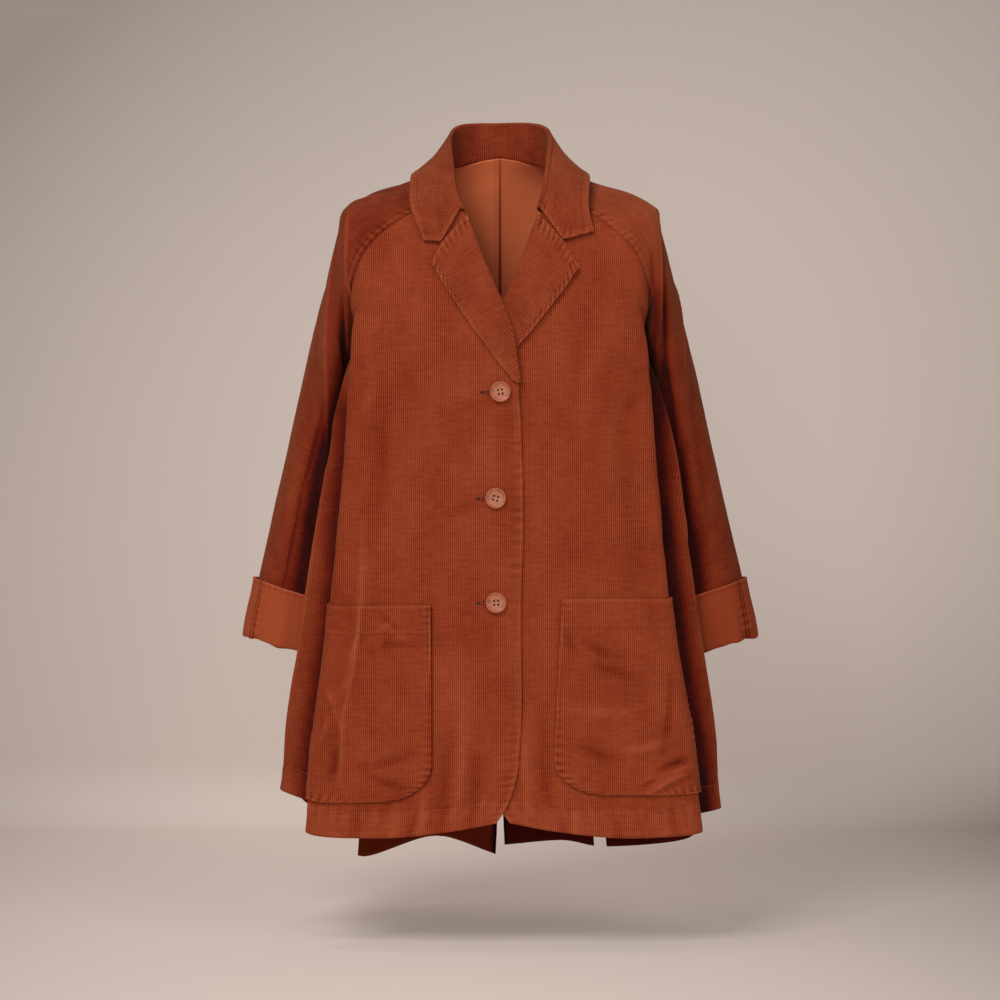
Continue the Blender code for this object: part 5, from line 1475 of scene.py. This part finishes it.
def panel_relief(kind, grid, side, looks):
    """A body panel's creases, its seams' relief, and its wear and painted light and shade."""
    front, back, sleeve, front_height, back_height = GRIDS[side]
    height, ways = grid[..., 2], border_ways(grid)
    seed = {"front": 1.3, "back": 2.9, "sleeve_front": 4.1, "sleeve_back": 5.7}[kind] + side
    seams = ditch(ways["last_column"][0])
    if kind == "front":
        lines = crease_lines("front", side, front_height)
        lines += [line for line in crease_lines("pocket", side, front_height) if line[2] < 0]
        seams += fade(height, *BREAK_FADE) * seam_relief(*ways["first_column"], TWO_ROWS, seed=seed)
    else:
        seams += ditch(ways["first_column"][0])
    if kind == "back":
        lines = crease_lines("back", side, back_height)
    if kind in ("front", "back"):
        seams += hem_relief(*ways["first_row"], seed)
    else:
        lines = crease_lines(kind, side, sleeve_heights(sleeve)[kind == "sleeve_back"])
        distance, place = ways["first_row"]
        puckers = seam_relief(distance, place, (RAGLAN_STITCH,), pucker=RAGLAN_PUCKER, seed=seed)
        seams += puckers * fade(distance, *RAGLAN_REACH) + ditch(distance, RAGLAN_DITCH)
    total, rub_and_shade = creased(grid, lines + fold_lines(kind, side, grid))
    # Painted shade where cloth shows past the front's edge in the front view.
    if kind in OVERLAPS:
        shade = hidden_shade(kind, grid, front, side)
        if kind == "front":
            shade *= np.arange(grid.shape[1]) > VALLEY_COLUMN * FINE_COLUMNS
        rub_and_shade -= shade
    if "sleeve" in kind:
        # Painted shade over the sleeves, painted light below the wearer's left shoulder and painted shade
        # below the right.
        rub_and_shade += SHOULDER_PAINTED_LIGHT[side] * fade(height, *SHOULDER_FADE) - SLEEVE_PAINTED_SHADE
    calm = away_from(half_neckline(front, back), grid, NECK_CREASE)
    return total * looks.crease * calm, seams, rub_and_shade


def away_from(line, grid, nearest):
    """Share of the cloth's unevenness that is left near a seam that has to stay closed."""
    gaps = np.array([np.linalg.norm(line - point, axis=1).min() for point in grid.reshape(-1, 3)])
    return 1 - (1 - nearest) * fade(gaps.reshape(grid.shape[:-1]), *NECK_CALM)


def outermost(front, columns):
    """The points of a front's fold, one a row, that lie farthest out between two columns."""
    columns = slice(columns[0] * FINE_COLUMNS, columns[1] * FINE_COLUMNS)
    part = front[: LOW_ROWS * FINE_ROWS, columns]
    return np.array([row[np.argmax(row[:, 0])] for row in part]) + (EDGE_SWELL, 0, 0)


def hidden_shade(kind, grid, front, side):
    """Painted shade on the cloth that shows just outside an edge of the front lying before it."""
    columns, amount, top, soft = OVERLAPS[kind]
    edge = outermost(front, columns)
    order = np.argsort(edge[:, 2])
    bearing, edge_bearing = (line[..., 0] / (VIEW_DISTANCE + line[..., 1]) for line in (grid, edge))
    edge_bearing = np.interp(grid[..., 2], edge[order, 2], edge_bearing[order])
    past = VIEW_DISTANCE * (bearing - edge_bearing)
    near = np.exp(-((np.maximum(past, 0) / SHADE_REACH) ** 2)) * fade(past, *SHADE_END)
    return amount[side] * near * fade(grid[..., 2], top[side] - soft, top[side])


def hem_relief(distance, place, seed):
    """The hem's turned band: a little thicker, drawn in and puckered along its stitches."""
    band = HEM_SWELL * fade(distance, HEM_DEPTH - 0.001, HEM_DEPTH + 0.001)
    groove = -SEAM_GROOVE * np.exp(-(((distance - HEM_DEPTH) / SEAM_GROOVE_WIDTH) ** 2))
    ridge = HEM_SWELL * np.exp(-(((distance - HEM_DEPTH - HEM_RIDGE[0]) / HEM_RIDGE[1]) ** 2))
    ridge *= 1 + 0.8 * np.sin(place * 31 + seed)
    beat = np.sin(place * 2 * math.pi / (PUCKER_PITCH * 1.7) + 2.5 * np.sin(place * 23 + seed))
    pull = HEM_PULL[0] * beat * np.exp(-(((distance - HEM_DEPTH * 0.9) / HEM_PULL[1]) ** 2))
    return band + groove + pull + ridge


def wrong_side(kind, world, seams, side):
    """How light a body panel's wrong side is: painted shade in seams' grooves and towards the hem, and on
    the back painted light in the open neck.
    """
    height = world[..., 2]
    seam_shade = np.clip(seams / WEAR_AND_SHADE_HEIGHT, -1, 0)
    if kind == "front":
        return seam_shade - HEM_DARK[0] * fade(height, *HEM_DARK[1:])
    centre = border_ways(world)["last_column"][0]
    light = NECK_LIGHT[0] * fade(height, *NECK_LIGHT[1:]) - HEM_DARK[0] * fade(height, *HEM_DARK[1:])
    pressed = CENTRE_FLAP[0] * fade(centre, *CENTRE_FLAP[1:]) * (side < 0)
    return light + seam_shade + pressed - CENTRE_LINE[0] * fade(centre, *CENTRE_LINE[1:])


def cover(stands_for, kind, grid, normals, relief, seams, rub_and_shade, grain, thickness=WALL, **options):
    """Makes one dressed sheet: a wall moved out by its relief; keeps its skin for the sewing.

    Among the options are the materials of its right and wrong side, its slot, which is not used,
    and how light its wrong side is.
    """
    right, wrong = options.pop("materials", ("velvet", "velvet reverse"))
    slot, inside = options.pop("slot", "corduroy"), options.pop("inside", None)
    name = f"{stands_for}_cloth"
    moved = drawn_in(grid, closed=options.get("closed", False))
    middle = moved + normals * (relief + seams)[..., None]
    SKINS[name] = middle + normals * thickness / 2, normals
    # Wear lightens the seams' ridges and painted shade darkens their grooves; the creases' and edges' wear
    # and painted light and shade are added.
    worn = np.clip(seams / WEAR_AND_SHADE_HEIGHT + rub_and_shade, *WEAR_AND_SHADE_RANGE)
    worn = np.stack([worn, worn if inside is None else inside])
    finishes = finish(right), finish(wrong)
    piece = wall(name, middle, normals, thickness, grain, worn, finishes, **options)
    dress(piece, (stands_for,))


def make_body(looks):
    body_grids()
    signed = []
    for side in SIDES:
        front, back, sleeve = (mirrored(grid, side) for grid in GRIDS[side][:3])
        signed += [(front, -side), (back, -side), (sleeve, side)]
    normals = shared_normals(signed)
    seam = OVERARM_COLUMN * FINE_ROWS
    whole, before, after = np.s_[:, :], np.s_[:, : seam + 1], np.s_[:, seam:]
    for k, (side, word) in enumerate(SIDES.items()):
        front, back = GRIDS[side][:2]
        plan = (
            ("front", 0, whole, 0, front[:, :1, 0]),
            ("back", 1, whole, -1, 0.0),
            ("sleeve_front", 2, before, seam, 0.0),
            ("sleeve_back", 2, after, 0, 0.0),
        )
        for kind, number, part, origin, start in plan:
            own = GRIDS[side][number][part]
            world, out = signed[3 * k + number][0][part], normals[3 * k + number][part]
            relief, seams, rub_and_shade = panel_relief(kind, own, side, looks)
            calm = away_from(half_neckline(front, back), own, NECK_DRAPE)
            relief += draped(world, amount=looks.drape) * calm
            options = {"left_out": slit_cells} if kind == "back" else {}
            if kind in ("front", "back"):
                options["inside"] = wrong_side(kind, world, seams, side)
            grain = grain_map(own, origin, start)
            cover(f"{kind}_{word}", kind, world, out, relief, seams, rub_and_shade, grain, **options)


def slit_cells(cells):
    """True for the cells of the back's slit."""
    column = cells[:, 1] // FINE_COLUMNS
    return (column == SLIT_COLUMN) & (cells[:, 0] < VENT_ROWS * FINE_ROWS)


def make_pockets(looks):
    for side, word in SIDES.items():
        front, height = GRIDS[side][0], GRIDS[side][3]
        grid = pocket_surface(front, side)
        world = mirrored(grid, side)
        ways = border_ways(grid)
        lines = crease_lines("front", side, height)
        lines += crease_lines("pocket", side, Height(grid[::4, ::4])) + fold_lines("front", side, front)
        relief, rub_and_shade = creased(grid, lines)
        relief *= looks.crease
        seams = sewn_edges("pocket", ways, (POCKET_STITCH,), POCKET_ROLL, POCKET_PUCKER, side)
        # Painted shade along the pocket's sewn edges.
        for border, dark in zip(SEWN_EDGES["pocket"], POCKET_EDGE_SHADE[side]):
            relief -= POCKET_SINK * fade(ways[border][0], 0.0, POCKET_EDGE)
            rub_and_shade -= dark * fade(ways[border][0], *POCKET_EDGE_SHADE_FADE)
        distance = ways["last_row"][0]
        high, before, width = POCKET_HEM_RIDGE
        seams -= POCKET_HEM_GROOVE * np.exp(-(((distance - POCKET_HEM) / SEAM_GROOVE_WIDTH) ** 2))
        seams += high * np.exp(-(((distance - POCKET_HEM + before) / width) ** 2))
        seams += EDGE_ROLL * np.sqrt(np.clip(1 - (distance / POCKET_MOUTH) ** 2, 0, 1))
        relief += POCKET_SINK * fade(distance, POCKET_HEM - 0.002, POCKET_HEM)
        relief += draped(world, amount=looks.drape)
        grain = grain_map(grid, 0, pocket_grain(front, grid))
        out = own_normals(world, -side)
        cover(f"pocket_{word}", "pocket", world, out, relief, seams, rub_and_shade, grain)


def pocket_grain(front, grid):
    """Distance of the pocket's inner edge from the centre line over the front, by row."""
    rows = np.interp(grid[:, 0, 2], front[:, 40, 2], np.arange(len(front)))
    starts = []
    for row, start in zip(rows, grid[:, 0]):
        line = panel_row(front, row)
        starts.append(float(np.interp(start[0], line[:50, 0], reached(line)[:50] + line[0, 0])))
    return np.array(starts)[:, None]


def make_lapels(looks):
    for side, word in SIDES.items():
        grid = lapel_surface(GRIDS[side][3], side)
        world = mirrored(grid, side)
        lines = crease_lines("lapel", side, Height(grid[::4, LAPEL_ARC * FINE_TRIM :: 4]))
        relief, rub_and_shade = creased(grid, lines)
        relief = relief * looks.crease + draped(world, amount=looks.drape)
        seams = sewn_edges("lapel", border_ways(grid), pucker=LAPEL_PUCKER, seed=side * 2)
        out, grain = own_normals(world, side), lapel_grain(grid, side)
        options = {"thickness": DOUBLE_WALL, "materials": ("velvet turned",) * 2}
        cover(f"lapel_{word}", "lapel", world, out, relief, seams, rub_and_shade, grain, **options)


def lapel_grain(grid, side):
    """Straight grain along the lapel's outer edge."""
    start, end = np.array(LAPEL_POINT[side]), np.array(LAPEL_END)
    along_edge = unit(end - start)
    flat = grid[..., (0, 2)] - start
    across = flat @ np.array((along_edge[1], -along_edge[0]))
    turned = fade(np.arange(grid.shape[1]), 0, LAPEL_ARC * FINE_TRIM)
    return np.stack([across + (grid[..., 1] - grid[:, -1:, 1]) * turned, flat @ along_edge], axis=2)


def collar_grain(grid):
    """Grain that runs across the collar, square to it at the centre back."""
    grain = grain_map(grid, grid.shape[1] // 2)
    grain[..., 0] = (grain[..., 0] + grain[:1, :, 0]) / 2
    return grain


def make_collar(looks):
    halves = {}
    for side in SIDES:
        front, back, _, height, _ = GRIDS[side]
        lines = collar_lines(height, half_neckline(front, back), side)
        halves[side] = [mirrored(grid, side) for grid in (stand_surface(lines), leaf_surface(lines))]
    for k, kind in enumerate(("stand", "leaf")):
        grid = np.concatenate([halves[-1][k], halves[+1][k][:, -2::-1]], axis=1)
        normals = own_normals(grid, 1)
        backwards = normals[len(grid) // 2, grid.shape[1] // 2, 1] > 0
        if backwards != (kind == "leaf"):
            normals = -normals
        ways = border_ways(grid)
        relief = draped(grid, amount=looks.drape)
        if kind == "leaf":
            for side in SIDES:
                reader = Height(mirrored(halves[side][1][::2, ::2], side))
                lines = crease_lines("collar", side, reader)
                lines = [(mirrored(line, side), *sizes) for line, *sizes in lines]
                relief += creased(grid, lines)[0] * looks.crease
            seams, rub_and_shade = sewn_edges("leaf", ways), 0.0
        else:
            relief = STAND_DRAPE * relief
            seams = ditch(ways["first_row"][0])
            inwards = np.minimum(ways["first_column"][0], ways["last_column"][0])
            # Painted shade over the stand, darker towards its ends.
            everywhere, ends, *reach = STAND_PAINTED_SHADE
            rub_and_shade = -everywhere - ends * fade(inwards, *reach)
        options = {"thickness": DOUBLE_WALL, "materials": ("velvet turned",) * 2}
        grain = collar_grain(grid)
        cover(f"collar_{kind}", kind, grid, normals, relief, seams, rub_and_shade, grain, **options)


def make_cuffs(looks):
    for side, word in SIDES.items():
        grid = cuff_surface(GRIDS[side][2])
        world, grain = mirrored(grid, side), grain_map(grid, 0)
        ways = border_ways(grid)
        distance, place = ways["last_row"]
        turn = np.linspace(0, 2 * math.pi, grid.shape[1])
        waves = sum(high * np.sin(beats * turn + side * start) for beats, start, high in CUFF_WAVES)
        waves = waves * (CUFF_CALM + (1 - CUFF_CALM) * fade(distance, *CUFF_WAVE_FADE))
        relief = CUFF_DRAPE * draped(world, amount=looks.drape) + waves
        closing = np.minimum(ways["first_column"][0], ways["last_column"][0])
        seams = seam_relief(distance, place, (CUFF_EDGE_STITCH,), seed=side * 3)
        seams += ditch(closing, *CLOSING_DITCH)
        beside = cuff_seam(grid, grain)
        puckers = seam_relief(beside, grain[..., 1], (CUFF_STITCH,), pucker=CUFF_PUCKER, seed=side)
        seams += puckers * fade(beside, *CUFF_SEAM_REACH)
        # Painted shade beside the cuff's seam, and painted light and shade on the cuff by side.
        amount, width = CUFF_SEAM_SHADE
        dark = amount * np.exp(-(((beside - CUFF_STITCH) / width) ** 2))
        rub_and_shade = CUFF_LIGHT[0] + CUFF_LIGHT[1] * side - dark
        out = own_normals(world, -side, closed=True)
        options = {"thickness": DOUBLE_WALL, "materials": ("velvet reverse",) * 2, "closed": True}
        options["slot"] = "corduroy_reverse"
        cover(f"cuff_{word}", "cuff", world, out, relief, seams, rub_and_shade, grain, **options)


def cuff_surface(sleeve):
    """Grid of a turned-up cuff: from under the sleeve's end, out and up round it."""
    end, before = sleeve[-1], sleeve[-1 - FINE_SLEEVE]
    axis = unit((end - before).mean(axis=0))
    points = [(*point, 0) for point in (*CUFF_PROFILE, (CUFF_STAND_OFF, CUFF_DEPTH))]
    outer = (1 - np.cos(np.linspace(0, 2 * math.pi, sleeve.shape[1]))) / 2
    rows = []
    for off, up, _ in curve(points, CUFF_SPANS):
        if up <= 0:
            ring = end - axis * up + np.outer(outer, axis) * CUFF_DROOP * off / CUFF_STAND_OFF
        else:
            ring = np.array([along(sleeve[::-1, k], [up])[0] for k in range(sleeve.shape[1])])
        out = ring - ring[:-1].mean(axis=0)
        rows.append(ring + unit(out - np.outer(out @ axis, axis)) * off)
    return np.array(rows)


def cuff_seam(grid, grain):
    """Distance round the cuff from its seam, which faces the front near the outer end."""
    ring = grid[len(grid) * 3 // 4]
    facing = ring[:, 1] < ring[:, 1].mean()
    off = np.abs(ring[:, 0] - ring[:, 0].max() + CUFF_SEAM_IN)
    column = np.argmin(off + 10 * ~facing)
    return np.abs(grain[..., 0] - grain[:, column : column + 1, 0])


# ---- topstitching ----
def below_break(line):
    """Picks the part of the front's edge that lies below the lapel."""
    return line[:, 2] < BREAK_HEIGHT


def part(first=None, last=None):
    """Picks the part of a line from one of its points up to another."""
    return lambda line: slice(first, last)


def sew_rows(name, rows):
    """Makes one piece of all the rows of stitches on a cloth piece.

    A row is given by the border that it follows, its distance from it, the part of the border that
    it takes, and, where it isn't the usual one, the pitch of its stitches.
    """
    skin, normals = SKINS[f"{name}_cloth"]
    frames = []
    for border, distance, taken, *pitch in rows:
        line, ups = line_at(skin, normals, border, distance)
        kept = taken(line)
        frames += stitch_frames(line[kept], ups[kept], *pitch)
    dress(sew(f"{name}_stitches", frames, finish("thread")))


def make_sewing():
    STITCH[:] = stitch_shape()
    whole, slit = part(), SLIT_COLUMN * FINE_COLUMNS
    past_fold, past_roll = part(LAPEL_ARC * FINE_TRIM + 5), part(FINE_TRIM + 5)
    tack = part(-22, -2)
    raglan = [("first_row", RAGLAN_STITCH, whole)]
    rows = {
        "front": [
            *(("first_column", reach, below_break) for reach in TWO_ROWS),
            ("first_row", HEM_DEPTH, whole),
        ],
        "back": [
            ("first_row", HEM_DEPTH, part(0, slit)),
            ("first_row", HEM_DEPTH, part(slit + FINE_COLUMNS + 1)),
        ],
        "sleeve_front": raglan,
        "sleeve_back": raglan,
        "lapel": [
            (border, reach, taken)
            for border, taken in zip(SEWN_EDGES["lapel"], (whole, past_fold))
            for reach in TWO_ROWS
        ],
        "pocket": [
            *((border, POCKET_STITCH, whole) for border in SEWN_EDGES["pocket"]),
            *(("last_row", reach, whole) for reach in (POCKET_HEM, POCKET_HEM + POCKET_HEM_STEP)),
            *((border, TACK_IN, tack, TACK_PITCH) for border in SEWN_EDGES["pocket"][:2]),
        ],
    }
    for word in SIDES.values():
        for kind, own in rows.items():
            sew_rows(f"{kind}_{word}", own)
    edges = zip(SEWN_EDGES["leaf"], (whole, past_roll, past_roll))
    sew_rows("collar_leaf", [(border, reach, taken) for border, taken in edges for reach in TWO_ROWS])


# ---- buttons ----
def button_spots():
    """Middle, up and outward directions of each button on the wearer's right front."""
    height = GRIDS[-1][3]
    off = WALL / 2 + BUTTON_SHANK + BUTTON_THICKNESS / 2
    spots = []
    for spot in BUTTONS.rows():
        depth, above = height.at(spot["x"], spot["z"]), height.at(spot["x"], spot["z"] + 0.01)
        tilt = math.atan2(above - depth, 0.01)
        place = -spot["x"], depth - off * math.cos(tilt), spot["z"] + off * math.sin(tilt)
        spots.append((Vector(place), tilt, math.radians(spot["turn"])))
    return spots


def button_shape():
    """One button, modelled once: turned from its half section and bored with four holes."""
    bpy.ops.object.select_all(action="DESELECT")
    data = bpy.data.meshes.new("button shape")
    points = [(x, 0, z) for x, z in reversed(BUTTON_PROFILE)]
    data.from_pydata(points, [(k, k + 1) for k in range(len(points) - 1)], [])
    button = add_piece("button shape", data)
    turn = button.modifiers.new("turn", "SCREW")
    turn.steps = turn.render_steps = 72
    turn.use_merge_vertices = True
    turn.merge_threshold = 1e-5
    cutters = []
    for x in (-BUTTON_HOLE_OFFSET, BUTTON_HOLE_OFFSET):
        for y in (-BUTTON_HOLE_OFFSET, BUTTON_HOLE_OFFSET):
            sizes = {"vertices": 24, "radius": BUTTON_HOLE_RADIUS, "depth": 0.02}
            bpy.ops.mesh.primitive_cylinder_add(location=(x, y, 0), **sizes)
            cutters.append(bpy.context.object)
            button.modifiers.new("hole", "BOOLEAN").object = cutters[-1]
    bpy.ops.object.select_all(action="DESELECT")
    bpy.context.view_layer.objects.active = button
    button.select_set(True)
    bpy.ops.object.convert(target="MESH")
    made = button.data.copy()
    for old in (*cutters, button):
        bpy.data.objects.remove(old)
    return made


def make_buttons():
    shape = button_shape()
    horn, thread = finish("horn"), finish("button thread")
    for number, (place, tilt, turn) in enumerate(button_spots(), 1):
        data = shape.copy()
        data.name = f"button_{number}_horn"
        upright = Matrix.Rotation(math.pi / 2 - tilt, 4, "X")
        turned = Matrix.Translation(place) @ upright @ Matrix.Rotation(turn, 4, "Z")
        data.transform(turned)
        data.materials.clear()
        data.materials.append(horn)
        data.shade_smooth()
        data.set_sharp_from_angle(angle=math.radians(40))
        dress(add_piece(f"button_{number}_horn", data), (f"button_{number}",))
        axes = np.array(turned.to_3x3()).T
        frames = [
            (np.array(turned @ Vector((0, row + lift, THREAD_DEPTH))), *axes)
            for row in (-BUTTON_HOLE_OFFSET, BUTTON_HOLE_OFFSET)
            for lift in THREAD_LIFTS
        ]
        dress(sew(f"button_{number}_thread", frames, thread, THREAD_SCALE))
        make_buttonhole(number, place, thread)


def make_buttonhole(number, place, thread):
    """The worked slit that a button has come through: stitches laid close round an oval."""
    skin, normals = SKINS["front_right_cloth"]
    flat, ups = skin.reshape(-1, 3), normals.reshape(-1, 3)
    frames = []
    for turn in np.linspace(0, 2 * math.pi, BUTTONHOLE_STITCHES, endpoint=False):
        x = place.x - BUTTONHOLE_REACH / 2 + BUTTONHOLE_REACH / 2 * math.cos(turn)
        z = place.z - BUTTONHOLE_DROP + BUTTONHOLE_WIDTH / 2 * math.sin(turn)
        nearest = int(np.argmin((flat[:, 0] - x) ** 2 + (flat[:, 2] - z) ** 2))
        up = ups[nearest]
        out = unit(np.array((0.25 * math.cos(turn), 0, math.sin(turn) + 1e-3)))
        side = unit(np.cross(up, out))
        frames.append((np.array((x, flat[nearest, 1], z)), np.cross(side, up), side, up))
    dress(sew(f"buttonhole_{number}", frames, thread, BUTTONHOLE_SCALE))


# ---- the studio ----
def make_stage(studio, colours):
    """Backdrop, lights and camera, as in the photograph."""
    backdrop = make_backdrop()
    backdrop.data.materials.append(backdrop_material("backdrop", colours.backdrop, studio.glow))
    for name, (place, size) in LIGHTS.items():
        light = bpy.data.lights.new(name, "AREA")
        light.size, light.energy, light.color = size, getattr(studio, name), LIGHT_COLOUR
        lamp = add_piece(name, light)
        lamp.location = place
        lamp.rotation_euler = (TARGET - Vector(place)).to_track_quat("-Z", "Y").to_euler()
    world = bpy.data.worlds.new("studio")
    bpy.context.scene.world = world
    world.use_nodes = True
    background = world.node_tree.nodes["Background"]
    background.inputs["Color"].default_value = AMBIENT_COLOUR
    background.inputs["Strength"].default_value = studio.ambient
    camera_data = bpy.data.cameras.new("camera")
    camera_data.lens, camera_data.sensor_width = LENS, SENSOR
    camera = add_piece("camera", camera_data)
    camera.location = TARGET - Vector((0, VIEW_DISTANCE, 0))
    camera.rotation_euler = (math.pi / 2, 0, 0)
    bpy.context.scene.camera = camera
    bpy.context.scene.view_settings.view_transform = "Standard"


def make_backdrop():
    """One sheet that runs over the floor and, round a small sweep, up the wall."""
    section = [(-BACKDROP_REACH[1], FLOOR_HEIGHT)]
    for turn in np.linspace(0, math.pi / 2, 13):
        place = WALL_PLACE + SWEEP * (math.sin(turn) - 1)
        section.append((place, FLOOR_HEIGHT + SWEEP * (1 - math.cos(turn))))
    section.append((WALL_PLACE, FLOOR_HEIGHT + BACKDROP_REACH[0]))
    vertices = [(x, y, z) for y, z in section for x in (-BACKDROP_REACH[0], BACKDROP_REACH[0])]
    faces = [(2 * k, 2 * k + 1, 2 * k + 3, 2 * k + 2) for k in range(len(section) - 1)]
    data = bpy.data.meshes.new("backdrop")
    data.from_pydata(vertices, [], faces)
    data.shade_smooth()
    data.update()
    return add_piece("backdrop", data)


def make_finishes(colours):
    """The materials that the pieces use."""
    wale_group()
    wale, sheen = colours.wale, (1.0, 0.38, 0.17)
    pile_material("velvet", colours.velvet, 1.05, 0.00030, 0.16, sheen, wale)
    pile_material("velvet turned", colours.turned, 1.35, 0.00034, 0.16, sheen, wale)
    pile_material("velvet reverse", colours.reverse, 0.30, 0.00012, 0.12, (1.0, 0.45, 0.25), wale)
    plain_material("thread", colours.thread, 0.7, 0.3)
    plain_material("button thread", colours.button_thread, 0.7, 0.3)
    plain_material("horn", colours.horn, 0.40, 0.38, (0.006, 0.012, 0.004), 1.2)


# ---- properties, operators and panel ----
def amount(name, description, value, **options):
    return bpy.props.FloatProperty(name=name, description=description, default=value, min=0, **options)


def power(name, which, watts):
    return amount(name, f"Power of the light {which}, in watts", watts)


def colour(name, description, value):
    options = {"subtype": "COLOR", "size": 3, "min": 0, "max": 1}
    return bpy.props.FloatVectorProperty(name=name, description=description, default=value, **options)


class JacketLooks(bpy.types.PropertyGroup):
    crease: amount("Crease strength", "Height of the drawn creases, against the photograph's", 1.0)
    drape: amount("Uneven hang", "How strongly the cloth waves between its creases", 1.0)


class JacketColours(bpy.types.PropertyGroup):
    velvet: colour("Velvet", "Right side of the cloth", (0.262, 0.0390, 0.0114))
    # A little darker than the velvet: painted shade on the collar and lapels.
    turned: colour("Collar and lapels", "Right side of the turned cloth", (0.246, 0.0365, 0.0110))
    reverse: colour("Wrong side", "Wrong side of the cloth and the cuffs", (0.34, 0.056, 0.018))
    thread: colour("Thread", "Topstitching", (0.44, 0.098, 0.037))
    button_thread: colour("Button thread", "Buttonholes and buttons' threads", (0.05, 0.012, 0.006))
    horn: colour("Buttons", "The buttons' horn", (0.41, 0.124, 0.058))
    backdrop: colour("Backdrop", "Paint of the wall and floor", (0.62, 0.535, 0.485))
    wale: amount("Wale spacing", "Distance from one rib to the next", 0.0025, unit="LENGTH", precision=4)


class JacketStudio(bpy.types.PropertyGroup):
    key: power("Key light", "high in front at the left", 64.0)
    front: power("Front light", "beside the camera", 26.0)
    fill: power("Fill light", "at the right", 27.0)
    top: power("Top light", "overhead", 8.0)
    ambient: amount("Ambient light", "Strength of the light from all round", 0.10)
    glow: amount("Backdrop glow", "Light that the backdrop gives off itself", 0.25)


class JacketFinishes(bpy.types.Operator):
    """Makes the velvet, its wrong side, the thread and the buttons' horn"""

    bl_idname = "jacket.finishes"
    bl_label = "Make the finishes"

    def execute(self, context):
        make_finishes(context.scene.jacket_colours)
        return {"FINISHED"}


class JacketBody(bpy.types.Operator):
    """Makes the fronts, the backs and the sleeves"""

    bl_idname = "jacket.body"
    bl_label = "Make the body and sleeves"

    def execute(self, context):
        make_body(context.scene.jacket_looks)
        return {"FINISHED"}


class JacketPockets(bpy.types.Operator):
    """Makes the two patch pockets on the fronts"""

    bl_idname = "jacket.pockets"
    bl_label = "Make the pockets"

    def execute(self, context):
        make_pockets(context.scene.jacket_looks)
        return {"FINISHED"}


class JacketLapels(bpy.types.Operator):
    """Makes the lapels that turn out above the top button"""

    bl_idname = "jacket.lapels"
    bl_label = "Make the lapels"

    def execute(self, context):
        make_lapels(context.scene.jacket_looks)
        return {"FINISHED"}


class JacketCollar(bpy.types.Operator):
    """Makes the collar's stand and its leaf"""

    bl_idname = "jacket.collar"
    bl_label = "Make the collar"

    def execute(self, context):
        make_collar(context.scene.jacket_looks)
        return {"FINISHED"}


class JacketCuffs(bpy.types.Operator):
    """Makes the turned-up cuffs"""

    bl_idname = "jacket.cuffs"
    bl_label = "Make the cuffs"

    def execute(self, context):
        make_cuffs(context.scene.jacket_looks)
        return {"FINISHED"}


class JacketSewing(bpy.types.Operator):
    """Lays the topstitching along edges, seams, hems and pockets"""

    bl_idname = "jacket.sewing"
    bl_label = "Make the topstitching"

    def execute(self, context):
        make_sewing()
        return {"FINISHED"}


class JacketButtons(bpy.types.Operator):
    """Makes the three buttons with their threads and buttonholes"""

    bl_idname = "jacket.buttons"
    bl_label = "Make the buttons"

    def execute(self, context):
        make_buttons()
        return {"FINISHED"}


class JacketStage(bpy.types.Operator):
    """Makes the studio: floor, wall, lights and camera"""

    bl_idname = "jacket.stage"
    bl_label = "Make the studio"

    def execute(self, context):
        make_stage(context.scene.jacket_studio, context.scene.jacket_colours)
        return {"FINISHED"}


STEPS = (
    JacketFinishes,
    JacketBody,
    JacketPockets,
    JacketLapels,
    JacketCollar,
    JacketCuffs,
    JacketSewing,
    JacketButtons,
    JacketStage,
)


class JacketPanel(bpy.types.Panel):
    """Lists the steps that build the jacket"""

    bl_idname = "VIEW3D_PT_jacket"
    bl_label = "Jacket"
    bl_space_type = "VIEW_3D"
    bl_region_type = "UI"
    bl_category = "Jacket"

    def draw(self, context):
        scene = context.scene
        for group in (scene.jacket_looks, scene.jacket_colours, scene.jacket_studio):
            for name in group.__annotations__:
                self.layout.prop(group, name)
        for step in STEPS:
            self.layout.operator(step.bl_idname)


GROUPS = {"jacket_looks": JacketLooks, "jacket_colours": JacketColours, "jacket_studio": JacketStudio}
CLASSES = (*GROUPS.values(), *STEPS, JacketPanel)


def register():
    for item in CLASSES:
        bpy.utils.register_class(item)
    for name, group in GROUPS.items():
        setattr(bpy.types.Scene, name, bpy.props.PointerProperty(type=group))


def unregister():
    for name in GROUPS:
        delattr(bpy.types.Scene, name)
    for item in reversed(CLASSES):
        bpy.utils.unregister_class(item)


def main():
    register()
    bpy.ops.object.select_all(action="DESELECT")
    for step in STEPS:
        getattr(bpy.ops.jacket, step.bl_idname.split(".")[1])()


if __name__ == "__main__":
    main()
